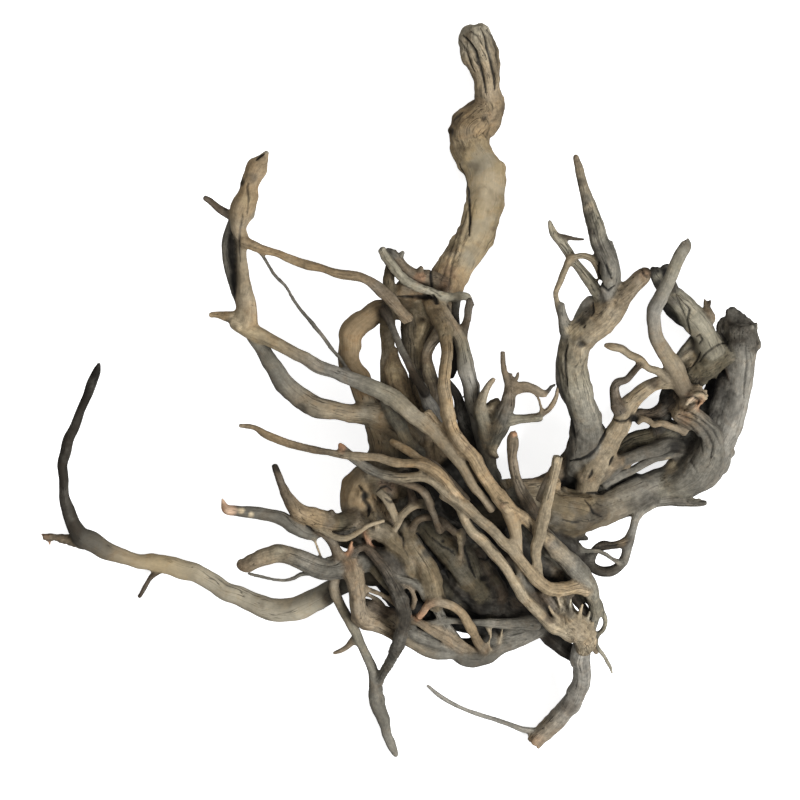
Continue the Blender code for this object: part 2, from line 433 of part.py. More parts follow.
LEFT = {
    "dark_horn": [
        (275, 465, 146, 3.8), (278, 474, 146, 4.5), (282, 485, 145, 4.7), (287, 496, 143, 5.6),
        (295, 506.5, 140, 7.6), (305, 515, 136, 9.4), (317, 521, 132, 10.4), (329, 523.5, 128, 10),
        (341, 522.5, 122, 9), (356, 518, 112, 11),
    ],
    "horn_nub": [(295, 512, 138, 5), (290, 513, 139, 3)],
    "horn_nub_low": [(332, 518, 130, 6), (331, 511, 133, 3)],
    "peeling_root": [
        (222.5, 499, 138, 1.5), (224.5, 506, 138, 3.6), (227, 509.5, 138, 5), (234, 510.5, 137, 5.4),
        (246, 511.5, 136, 5.8), (258, 512.5, 135, 6), (270, 515, 133, 6.4), (282, 519.5, 131, 7.2),
        (293, 526.5, 128, 7.6), (303, 532, 124, 7.2), (311, 534, 121, 6.8), (317, 532, 119, 6.6),
        (327, 527, 118, 7),
    ],
    "arching_root": [
        (239, 562.5, 122, 4.6), (246, 564, 122, 7.4), (256, 560.5, 122, 8.6), (266, 556, 122, 9.9),
        (277, 553.8, 122, 10.2), (289, 555.4, 122, 10.2), (301, 560, 122, 9.8), (313, 565, 121, 9.9),
        (325, 568.5, 119, 10), (337, 568, 116, 10), (350, 564, 112, 11), (364, 560, 106, 12),
    ],
    "thin_under_root": [
        (248, 573, 114, 1.9), (256, 575.5, 113, 2), (265, 578, 112, 2), (275, 580, 112, 2),
        (285, 580.5, 112, 2.1), (293, 578, 112, 2.3), (301, 574, 113, 2.5), (311, 574, 114, 2.4),
        (323, 575, 114, 4),
    ],
    "thin_link": [
        (313, 537, 122, 3), (315, 542, 118, 1.7), (318, 550, 117, 1.6), (321, 558, 118, 1.8),
        (324, 567, 118, 3),
    ],
    "side_link": [
        (316, 529, 126, 5), (326, 535.5, 126, 5), (333, 544, 124, 5), (338.5, 552.5, 121, 6),
        (346, 563, 114, 7),
    ],
    "pale_thin_root": [
        (314, 527, 132, 4), (322, 530, 136, 3.4), (333, 536, 138, 3.6), (344, 538, 139, 3.4),
        (352, 535.5, 139, 3), (360, 531, 139, 2.9), (367, 526.5, 138, 2.8), (375, 523.5, 136, 2.6),
        (384, 520.5, 134, 2.3),
    ],
    "long_left_root": [
        (392, 566, 80, 15), (374, 571, 78, 15), (355, 575, 73, 13), (337, 586, 64, 11),
        (324.5, 593.5, 57, 12), (312, 600.5, 50, 12), (297, 607, 43, 12), (282, 609.5, 37, 11.6),
        (267, 607.5, 32, 11.2), (252.5, 603, 28, 10), (239.5, 597, 24, 9.4), (226, 590, 21, 9.1),
        (212, 581.5, 18, 9), (200, 575.5, 15, 9.2), (190, 571, 13, 10), (180, 568, 11, 10.3),
        (170, 565.5, 9.5, 9.5), (160, 564, 8.5, 8.8), (150, 562.7, 8, 8.2), (140, 561, 8, 7.4),
        (130, 558.5, 8, 7.2), (120, 555.5, 9, 7.8), (110, 552, 10, 8.6), (100, 547.5, 12, 9.2),
        (90, 541.5, 15, 9.8), (80, 535.5, 19, 8.6), (73.5, 525, 24, 7.2), (69, 512, 30, 7),
        (65.5, 500, 36, 6.2), (64, 488, 42, 5.7), (63.5, 475, 48, 5.3), (63.2, 461, 54, 5.6),
        (66.5, 447, 60, 5.3), (71.5, 434, 66, 5.1), (76.5, 421.5, 71, 4.7), (82, 409, 76, 4.5),
        (87.5, 396, 81, 4.8), (92.5, 384, 86, 5.2), (96.5, 372, 90, 4.5), (99, 364.5, 93, 2.3),
    ],
    "splintered_fork": [
        (100, 547, 14, 7.5), (92, 545, 14, 6.5), (80, 543.5, 13, 6), (70, 541, 12.5, 5.3),
        (61, 538.5, 12, 4.4), (54, 537, 12, 3.6), (48, 537, 12, 4), (44, 536.5, 12, 3),
    ],
    "fork_splinter": [(48, 538, 12, 2), (50.5, 545.5, 12, 1.2)],
    "fork_splinter_up": [(44.5, 537, 12, 1.8), (41.5, 533.5, 12, 0.9)],
    "left_twig": [
        (160, 568, 9, 5), (152, 576, 8, 3.4), (147, 583, 7, 2.8), (142.5, 590.5, 6, 2.6),
        (138.5, 597, 5, 2.6),
    ],
    "outer_leg": [
        (337, 570, 108, 6), (334.5, 580, 103, 5.4), (334.5, 590, 97, 5.2), (339, 601, 90, 5),
        (345, 612.5, 82, 5), (351, 624, 73, 5.4), (357, 635, 64, 5.2), (362.5, 647, 55, 4.8),
        (367.5, 659, 46, 5), (372, 671, 39, 5.4), (374, 683, 32, 6), (375, 695, 26, 7), (378, 707, 20, 8.2),
        (382.5, 718, 15, 7), (385.5, 728, 11, 5.6), (388.5, 738, 8, 5), (392.5, 747, 5.6, 4.6),
        (396, 754.5, 4, 3),
    ],
    "dark_leg": [
        (350, 561, 114, 7), (353.5, 554, 121, 4.6), (358, 549, 126, 4), (364, 547, 128, 4),
        (370, 550, 128, 5), (377, 558, 126, 5.6), (384, 568, 123, 5.8), (391, 580, 120, 6.2),
        (398, 592, 118, 7.2), (403, 604, 116, 8), (404.5, 616, 114, 8.4), (402.5, 628, 108, 7.8),
        (398.5, 640, 97, 7), (396, 651, 80, 5.8), (390.5, 662, 62, 5.4), (384.5, 671.5, 46, 5),
        (379.5, 681, 34, 4.8), (378, 690, 27, 5), (380, 702, 21, 6),
    ],
    "brown_stump": [
        (349, 560, 118, 9.4), (353, 571, 118, 10), (356, 582, 114, 9), (357, 594, 109, 8.8),
        (358.5, 606, 103, 9), (361.5, 617, 97, 10.4), (369, 622, 92, 9.6), (379, 625.5, 88, 8.4),
        (390, 630.5, 84, 7.4), (402, 637, 78, 7),
    ],
    "dark_leg_twig": [
        (357, 634, 62, 4.6), (353, 641, 60, 3.8), (347.5, 647, 58, 3.2), (340, 651, 58, 2.6),
        (333, 653, 58, 1.8),
    ],
    "bottom_root": [
        (400, 634, 76, 7), (413, 643.5, 72, 6.4), (426, 649, 70, 6.6), (440, 652.5, 70, 6.4),
        (452, 653, 68, 6.6), (463, 656.5, 66, 9.6), (475, 658, 66, 10), (487, 654.5, 66, 8.4),
        (500, 649.5, 62, 5.4), (514, 644.5, 60, 5), (528, 638.5, 58, 5.4), (541, 632, 58, 6),
    ],
    "inner_bottom_root": [
        (478, 652, 64, 7), (488, 640, 60, 8), (505, 636, 58, 8.4), (522, 631, 58, 9), (540, 624, 60, 10),
        (560, 618, 70, 12),
    ],
    "dark_wedge": [
        (530, 622, 56, 10), (543, 628, 52, 9), (553, 638, 50, 10), (564, 648, 48, 9.5), (576, 656, 48, 8),
    ],
    "brown_arch": [
        (418, 617.5, 104, 3.4), (423, 611.5, 106, 4), (428, 605.5, 108, 4.4), (436, 602, 109, 4.6),
        (446, 603.5, 108, 4.8), (455, 608, 106, 5), (463, 615, 102, 5), (468.5, 624, 98, 5),
        (473, 634, 92, 4.8), (478, 643, 84, 4.8), (484, 651, 74, 6),
    ],
    "fan_strand_a": [
        (410, 620, 86, 5), (420, 623, 84, 3.4), (434, 622.5, 85, 3.6), (447, 621, 86, 3.6),
        (460, 621.5, 86, 3.6), (474, 622.5, 84, 3.8), (488, 623, 82, 4.2), (503, 624, 80, 5),
        (520, 624, 78, 6), (538, 622, 76, 8),
    ],
    "fan_strand_b": [
        (430, 598, 92, 7), (436, 607, 88, 5.6), (442, 617, 84, 5), (450, 629, 80, 4.4), (459, 641, 74, 4),
        (468, 651, 68, 5),
    ],
    "fan_strand_c": [
        (408, 618, 88, 5), (418, 622.5, 90, 3.6), (430, 630, 88, 3.8), (443, 638, 84, 4.2),
        (456, 645.5, 78, 4.6), (470, 652, 70, 6),
    ],
    "fan_strand_d": [
        (405, 627, 82, 5), (420, 637.5, 80, 4.2), (434, 643, 78, 4.2), (450, 647, 74, 4.6),
        (464, 652, 68, 6),
    ],
    "fan_thread": [(503, 624, 78, 1.6), (501, 636, 68, 1.6), (498, 648, 62, 2)],
    "leg_strand_a": [
        (358, 585, 108, 5), (368, 589, 106, 3), (379, 593.5, 105, 2.8), (390, 600, 105, 2.8),
        (402, 608, 100, 5),
    ],
    "leg_strand_b": [
        (360, 592, 104, 4), (370, 596, 98, 2.6), (379, 601, 94, 2.6), (385, 609, 91, 2.6),
        (391, 616, 90, 2.6), (402, 620, 86, 5),
    ],
    "leg_web": [(364, 604, 88, 6), (374, 607, 90, 6.6), (387, 614, 86, 6.6), (402, 624, 82, 7)],
    "fan_back": [
        (404, 628, 64, 7), (422, 634, 62, 7), (440, 641, 62, 7), (456, 644, 60, 7), (472, 645, 60, 8),
    ],
    "left_fill": [(332, 535, 116, 4), (342, 541, 112, 6), (354, 544, 108, 7), (366, 546, 104, 7)],
    "fan_strand_e": [
        (418, 621, 86, 4), (430, 625, 86, 2.4), (443, 630, 84, 2.2), (456, 638, 81, 2.3),
        (466, 645, 77, 2.6), (474, 651, 70, 5),
    ],
    "fan_strand_f": [
        (410, 628, 80, 4), (424, 632.5, 78, 2.4), (437, 636, 76, 2.2), (450, 640, 73, 2.4),
        (462, 647, 68, 5),
    ],
    "fan_strand_g": [(489, 652, 70, 4), (488, 644, 76, 1.8), (490, 636, 80, 1.6), (488, 628, 82, 3)],
}

HEART = {
    "tan_slope": [
        (350, 524, 106, 10), (364, 527, 113, 11), (378, 531, 116, 11), (390, 538, 117, 9.6),
        (399.5, 548, 117, 8), (407, 560, 115, 7), (412, 573, 109, 6), (417, 588, 98, 6),
    ],
    "pale_grey_slope": [
        (404, 525, 103, 8), (410, 539, 110, 9.6), (417, 552, 112, 10.6), (425, 565, 111, 11),
        (431.5, 579, 108, 12), (433.5, 592, 101, 11.4), (435, 604, 88, 9.6),
    ],
    "slate_slope": [
        (366, 552, 104, 8), (375, 555, 112, 9), (385, 559, 114, 10), (394, 566, 112, 10),
        (401, 575, 107, 9), (408, 586, 96, 8),
    ],
    "grey_green_slope": [
        (414, 512, 96, 9), (422, 523, 98, 9), (433, 535, 100, 10.5), (445, 548, 101, 11.6),
        (456.5, 562, 100, 12), (467, 577, 95, 11), (476.5, 590, 87, 9.4), (485, 601, 78, 8),
        (492, 612, 66, 8),
    ],
    "mottled_slope": [
        (446, 516, 96, 9), (456, 530, 97, 8.4), (467, 544, 96, 9.4), (478, 557, 93, 9), (488, 571, 88, 8),
        (497, 586, 80, 8), (506, 602, 68, 9),
    ],
    "brown_bow": [
        (412, 528, 112, 5), (417, 521, 119, 4), (423, 517.5, 123, 4), (431, 517, 125, 4),
        (440, 520, 125, 4), (449, 526.5, 123, 4), (456, 533, 116, 4), (462, 541, 104, 6),
    ],
    "pale_bow": [
        (376, 490, 116, 6), (380, 493.5, 126, 4.4), (386, 499.5, 130, 4.6), (390.5, 507, 130, 4.4),
        (394, 515, 128, 3.6), (395.5, 520, 124, 3),
    ],
    "tan_bow": [
        (394.5, 531, 116, 2.6), (397.5, 524, 122, 3.6), (401.5, 516, 128, 4), (408, 509.5, 131, 4.4),
        (415, 505.5, 131, 4.6), (422, 503.5, 126, 5), (430, 504, 116, 6),
    ],
    "brown_lump": [(372, 474, 108, 12), (384, 474, 112, 12), (396, 480, 112, 10), (404, 492, 106, 9)],
    "orange_splinter": [(350, 556, 118, 5), (350, 549, 124, 3), (352, 541, 128, 1.6)],
    "tan_splinter": [
        (370, 547, 110, 5), (368, 542, 115, 3.4), (365.5, 536, 120, 2.2), (363, 530, 123, 1.4),
    ],
    "inner_strand": [(360, 550, 110, 6), (372, 566, 110, 5), (384, 580, 108, 5.4), (396, 592, 102, 6)],
    "cross_strand": [
        (388, 577, 112, 5), (395, 577.5, 118, 3), (405, 579.5, 119, 3.2), (414, 583, 116, 3.6),
        (421, 590, 110, 4), (425, 599, 100, 4),
    ],
    "inner_core": [
        (425, 400, 88, 16), (428, 440, 86, 24), (430, 480, 84, 28), (438, 520, 76, 30), (456, 556, 68, 32),
        (484, 586, 60, 29), (516, 606, 54, 23), (548, 614, 54, 16),
    ],
    "left_core": [
        (366, 500, 78, 22), (386, 520, 76, 26), (408, 538, 72, 28), (436, 570, 62, 28), (462, 600, 56, 23),
    ],
    "right_core": [(540, 512, 72, 20), (510, 524, 76, 24), (480, 532, 76, 28), (452, 538, 74, 28)],
    "low_core": [
        (376, 560, 76, 16), (400, 590, 70, 18), (424, 608, 62, 17), (452, 616, 56, 15), (486, 622, 54, 14),
        (520, 618, 54, 14),
    ],
    "block_strand": [
        (452, 536, 100, 6), (463, 547, 104, 6.4), (471, 560, 102, 7.6), (476, 573, 96, 7),
        (480, 588, 86, 7),
    ],
    "deep_strand": [
        (430, 506, 100, 7), (440, 516, 104, 6), (452, 524, 104, 5), (464, 530, 100, 5), (476, 540, 92, 6),
    ],
    "thin_post": [
        (463.5, 530, 116, 4), (463, 540, 120, 3), (462, 552, 116, 2.6), (461, 562, 108, 3),
        (461, 570, 96, 4),
    ],
    "crown_lump": [
        (384, 480, 108, 11), (391, 486, 112, 10.4), (392.5, 494, 114, 9.4), (389, 502, 112, 7.4),
        (388, 512, 106, 6), (392, 524, 104, 6),
    ],
    "dark_stay": [(404, 474, 146, 6), (408, 484, 140, 3.6), (411, 493, 136, 3.6), (413, 502, 131, 5)],
    "cross_strand_b": [
        (399, 586, 114, 4), (407, 586, 116, 2.6), (412, 591, 112, 2.6), (414, 599, 106, 3),
        (412, 608, 100, 4),
    ],
    "bow_rest": [(372, 516, 118, 5), (375, 523, 134, 2.6), (377, 530, 118, 5)],
}

LOWER_RIGHT = {
    "curling_root": [
        (640, 494, 40, 10), (656, 500.5, 42, 6), (650, 504.5, 45, 5.6), (641, 510, 48, 5.8),
        (635.5, 518, 52, 4.8), (633, 528, 55, 4.4), (630, 538, 57, 5), (627.5, 548, 58, 4.8),
        (625, 557, 58, 4.8), (620, 565, 57, 5), (612, 571, 55, 5.4), (602, 572, 54, 5.4), (593, 567, 54, 5),
        (585, 560, 54, 5.4), (574, 549, 56, 7),
    ],
    "curling_tip": [
        (644, 500, 42, 7), (660, 501.5, 43, 5.4), (672, 500.5, 43, 5.2), (684, 501.5, 43, 5),
        (696, 503.5, 43, 4), (706, 503, 44, 3),
    ],
    "tip_splinter": [(688, 500, 44, 2.4), (700, 499.2, 45, 1)],
    "small_hook": [
        (630, 540, 58, 5), (620, 544, 60, 4.6), (611, 545.5, 60, 4.4), (603, 544.8, 59, 5.4),
        (596, 548.5, 58, 4.8), (592.5, 555, 56, 4.4), (590, 564, 54, 5),
    ],
    "thin_hook": [
        (572, 546, 62, 5), (585, 551, 66, 2.8), (596, 551, 68, 2.6), (606, 555, 68, 2.6),
        (614, 560, 65, 2.6), (622, 563, 59, 4),
    ],
    "dark_mass": [
        (536, 522, 72, 12), (548, 532, 68, 10), (560, 541, 64, 10), (572, 549, 60, 9.5), (584, 558, 56, 7),
    ],
    "dark_nub": [(566, 534, 58, 8), (576, 535.5, 56, 5), (588, 539, 54, 2.4)],
    "wavy_rootlet": [
        (594, 600, 120, 4), (600, 602, 113, 2.8), (602.5, 611, 105, 2.9), (605, 621, 98, 3),
        (603, 629, 92, 2.8), (597.5, 635, 86, 2.8), (596, 643, 79, 2.6), (598.5, 650, 73, 2.4),
        (604, 656, 67, 2.2), (608, 663, 61, 2.2), (611, 669, 56, 2), (612, 674, 52, 1.2),
    ],
    "rootlet_stub": [(582, 636, 92, 7), (592, 647, 86, 3.6), (597, 653, 83, 3)],
    "floor_rootlet": [
        (540, 735, 9, 6), (533, 731, 8.4, 4), (521, 728.5, 7, 3.2), (508, 724, 5.6, 2.9),
        (494, 719, 4.6, 2.6), (480, 714.5, 4.2, 2.5), (466, 709.5, 4.2, 2.4), (453, 703.5, 4.4, 2.4),
        (441, 696.5, 5, 2.3), (433, 690, 7, 2.1), (427.5, 685, 9, 1.8),
    ],
}


def clear_scene():
    """Remove whatever the scene starts with."""
    for item in list(bpy.data.objects):
        bpy.data.objects.remove(item, do_unlink=True)


def wood_material():
    """Matt wood, with no metal in it."""
    material = bpy.data.materials.new("moor_wood")
    material.use_nodes = True
    shader = material.node_tree.nodes["Principled BSDF"]
    shader.inputs["Base Color"].default_value = WOOD_COLOUR
    shader.inputs["Roughness"].default_value = WOOD_ROUGHNESS
    shader.inputs["Metallic"].default_value = 0.0
    return material


def between(before, start, end, after, share):
    """One point of the smooth curve through four points, as a Catmull-Rom blend."""
    return (
        start
        + (end - before) * (0.5 * share)
        + (before * 2 - start * 5 + end * 4 - after) * (0.5 * share**2)
        + (start * 3 - before - end * 3 + after) * (0.5 * share**3)
    )


def smooth_route(points):
    """The route with extra points on a smooth curve through the given ones."""
    knots = [Vector(point) for point in points]
    route = []
    for index in range(len(knots) - 1):
        before = knots[max(index - 1, 0)]
        after = knots[min(index + 2, len(knots) - 1)]
        for step in range(CURVE_STEPS):
            route.append(between(before, knots[index], knots[index + 1], after, step / CURVE_STEPS))
    route.append(knots[-1])
    return route


def distance_from_chord(point, start, end):
    """How far the point lies from the straight line between start and end."""
    chord = end - start
    offset = point - start
    share = min(max(offset.dot(chord) / chord.length_squared, 0.0), 1.0)
    return (offset - chord * share).length


def needed_points(route, tolerance):
    """The fewest points of the route that keep its line and thickness within the tolerance."""
    start, end = route[0], route[-1]
    inner = range(1, len(route) - 1)
    misses = {index: distance_from_chord(route[index], start, end) for index in inner}
    split = max(misses, key=misses.get, default=None)
    if split is None or misses[split] <= tolerance:
        return [start, end]
    return needed_points(route[: split + 1], tolerance)[:-1] + needed_points(route[split:], tolerance)


def place(across, down, height):
    """Metres from plan cells. Higher spots stand further in, because the plan is seen from above."""
    lean = 1.0 - height * CELL / EYE_HEIGHT
    origin_x = (BASE_CENTRE_ACROSS - PLAN_CENTRE) * CELL
    origin_y = (PLAN_CENTRE - BASE_CENTRE_DOWN) * CELL
    x = (across - PLAN_CENTRE) * CELL * lean - origin_x
    y = (PLAN_CENTRE - down) * CELL * lean - origin_y
    return Vector((x, y, (height - FLOOR_TRIM) * CELL)), lean


def limb_curve(name, points):
    """One limb as a bevelled curve with closed ends."""
    route = smooth_route(points)
    thickness = sum(point[3] for point in route) / len(route)
    kept = needed_points(route, SHAPE_TOLERANCE + SHAPE_TOLERANCE_SHARE * thickness)
    curve = bpy.data.curves.new(name, "CURVE")
    curve.dimensions = "3D"
    curve.bevel_depth = CELL
    curve.bevel_resolution = next(facets for limit, facets in FACETS if thickness < limit)
    curve.use_fill_caps = True
    spline = curve.splines.new("POLY")
    spline.points.add(len(kept) - 1)
    for spot, (across, down, height, half) in zip(spline.points, kept):
        centre, lean = place(across, down, height)
        spot.co = (*centre, 1.0)
        spot.radius = max(half, THINNEST) * lean
    return bpy.data.objects.new(name, curve)


def as_mesh(source, collection):
    """A closed mesh object made from the curve object, which is removed."""
    collection.objects.link(source)
    bpy.context.view_layer.update()
    graph = bpy.context.evaluated_depsgraph_get()
    mesh = bpy.data.meshes.new_from_object(source.evaluated_get(graph))
    cage = bmesh.new()
    cage.from_mesh(mesh)
    bmesh.ops.remove_doubles(cage, verts=cage.verts, dist=WELD_DISTANCE)
    bmesh.ops.recalc_face_normals(cage, faces=cage.faces)
    cage.to_mesh(mesh)
    cage.free()
    name = source.name
    bpy.data.curves.remove(source.data)
    limb = bpy.data.objects.new(name, mesh)
    collection.objects.link(limb)
    return limb


def floor_block(collection):
    """The block under the floor that trims the limbs flat where they rest."""
    cage = bmesh.new()
    bmesh.ops.create_cube(cage, size=1.0)
    bmesh.ops.translate(cage, verts=cage.verts, vec=(0, 0, -0.5))
    mesh = bpy.data.meshes.new("floor_block")
    cage.to_mesh(mesh)
    cage.free()
    block = bpy.data.objects.new("floor_block", mesh)
    block.hide_render = True
    block.display_type = "WIRE"
    collection.objects.link(block)
    return block


def baked(item):
    """Replace the object's mesh with its evaluated one, and drop the modifiers."""
    bpy.context.view_layer.update()
    graph = bpy.context.evaluated_depsgraph_get()
    mesh = bpy.data.meshes.new_from_object(item.evaluated_get(graph))
    item.modifiers.clear()
    item.data = mesh


def islands_of(cage):
    """Groups of vertices that are joined by edges, the largest first."""
    waiting = set(cage.verts)
    islands = []
    while waiting:
        island = {waiting.pop()}
        front = list(island)
        while front:
            vertex = front.pop()
            for edge in vertex.link_edges:
                other = edge.other_vert(vertex)
                if other not in island:
                    island.add(other)
                    front.append(other)
        waiting -= island
        islands.append(island)
    return sorted(islands, key=len, reverse=True)


def keep_one_body(item):
    """Keep the outer skin only: fusing leaves sealed hollows between the limbs, which are solid wood."""
    cage = bmesh.new()
    cage.from_mesh(item.data)
    for island in islands_of(cage)[1:]:
        bmesh.ops.delete(cage, geom=list(island), context="VERTS")
    cage.to_mesh(item.data)
    cage.free()


def new_collection(name):
    """A collection with this name, linked to the scene."""
    collection = bpy.data.collections.new(name)
    bpy.context.scene.collection.children.link(collection)
    return collection


def fuse_limbs(body, routes):
    """Join a tube for each route to the body."""
    limbs = new_collection("limbs")
    for name, points in routes.items():
        as_mesh(limb_curve(name, points), limbs)
    fuse = body.modifiers.new("fuse", "BOOLEAN")
    fuse.operation = "UNION"
    fuse.operand_type = "COLLECTION"
    fuse.collection = limbs
    fuse.solver = "EXACT"
    baked(body)
    for limb in list(limbs.objects):
        bpy.data.objects.remove(limb)
    bpy.data.collections.remove(limbs)
    keep_one_body(body)


def drop_flaps(body):
    """Remove the single facets that thinning leaves standing on an edge, and its loose edges."""
    cage = bmesh.new()
    cage.from_mesh(body.data)
    flaps = [face for face in cage.faces if any(edge.is_boundary for edge in face.edges)]
    bmesh.ops.delete(cage, geom=flaps, context="FACES")
    loose = [edge for edge in cage.edges if edge.is_wire]
    bmesh.ops.delete(cage, geom=loose, context="EDGES")
    cage.to_mesh(body.data)
    cage.free()


def thin_out(body):
    """Merge the smallest facets until the solid has few enough triangles."""
    triangles = sum(len(face.vertices) - 2 for face in body.data.polygons)
    thin = body.modifiers.new("thin_out", "DECIMATE")
    thin.ratio = MOST_TRIANGLES / triangles
    baked(body)


def trim_at_floor(body):
    """Cut off what would reach under the floor."""
    trim = body.modifiers.new("trim", "BOOLEAN")
    trim.operation = "DIFFERENCE"
    trim.object = floor_block(new_collection("cutters"))
    trim.solver = "EXACT"
    baked(body)
    keep_one_body(body)


def moor_root():
    """All limbs as one closed solid, trimmed flat by the floor."""
    routes = {**TRUNKS, **UPPER_LEFT, **CENTRE, **LEFT, **HEART, **LOWER_RIGHT}
    body = as_mesh(limb_curve("moor_root", routes.pop("inner_core")), new_collection("moor_wood_root"))
    fuse_limbs(body, routes)
    thin_out(body)
    drop_flaps(body)
    trim_at_floor(body)
    body.data.name = "moor_root"
    body.data.materials.clear()
    body.data.materials.append(wood_material())
    body.data.shade_smooth()
    body.data.set_sharp_from_angle(angle=SHARP_ANGLE)
    return body


clear_scene()
moor_root()
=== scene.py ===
"""The looks of a dark moor wood root: fine grained wood grown over the same routes as its solid.

Every limb is swept along its route with flutes and worn ends, the limbs are fused on a fine voxel grid,
their joins are rounded, and the wood gets grain, cracks, stains and breaks from its own grain directions,
with painted shade in its hollows, grooves and creases and painted light on a few places.
"""

import math

import bpy
import numpy as np
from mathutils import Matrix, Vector, kdtree


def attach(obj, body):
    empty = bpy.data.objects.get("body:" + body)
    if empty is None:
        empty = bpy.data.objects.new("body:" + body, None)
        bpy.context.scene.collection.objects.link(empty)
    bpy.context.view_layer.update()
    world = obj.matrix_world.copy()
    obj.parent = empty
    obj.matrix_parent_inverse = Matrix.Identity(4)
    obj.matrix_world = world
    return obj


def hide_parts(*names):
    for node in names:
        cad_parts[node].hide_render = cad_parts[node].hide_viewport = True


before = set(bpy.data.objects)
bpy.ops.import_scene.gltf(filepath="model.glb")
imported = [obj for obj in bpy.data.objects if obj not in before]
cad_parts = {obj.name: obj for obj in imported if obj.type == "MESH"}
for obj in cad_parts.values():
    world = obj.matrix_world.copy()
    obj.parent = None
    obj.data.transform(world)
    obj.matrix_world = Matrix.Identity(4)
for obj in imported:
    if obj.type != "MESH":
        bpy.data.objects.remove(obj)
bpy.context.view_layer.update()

# Plan of the root, as in the solid: square cells seen from a point high above the plan's middle
PLAN_LENGTH = 0.601
PLAN_LENGTH_CELLS = 733
CELL = PLAN_LENGTH / PLAN_LENGTH_CELLS
EYE_HEIGHT = 2.5
PLAN_CENTRE = 400
BASE_CENTRE_ACROSS = 396.12
BASE_CENTRE_DOWN = 394.2
FLOOR_TRIM = 1.5
THINNEST = 1.3
ORIGIN_X = (BASE_CENTRE_ACROSS - PLAN_CENTRE) * CELL
ORIGIN_Y = (PLAN_CENTRE - BASE_CENTRE_DOWN) * CELL
PHOTO_CELLS = 800

# Fineness of the wood's surface, in metres
RING_STEP = 0.0012
VOXEL = 0.00112
LEAST_SIDES = 10
MOST_SIDES = 64

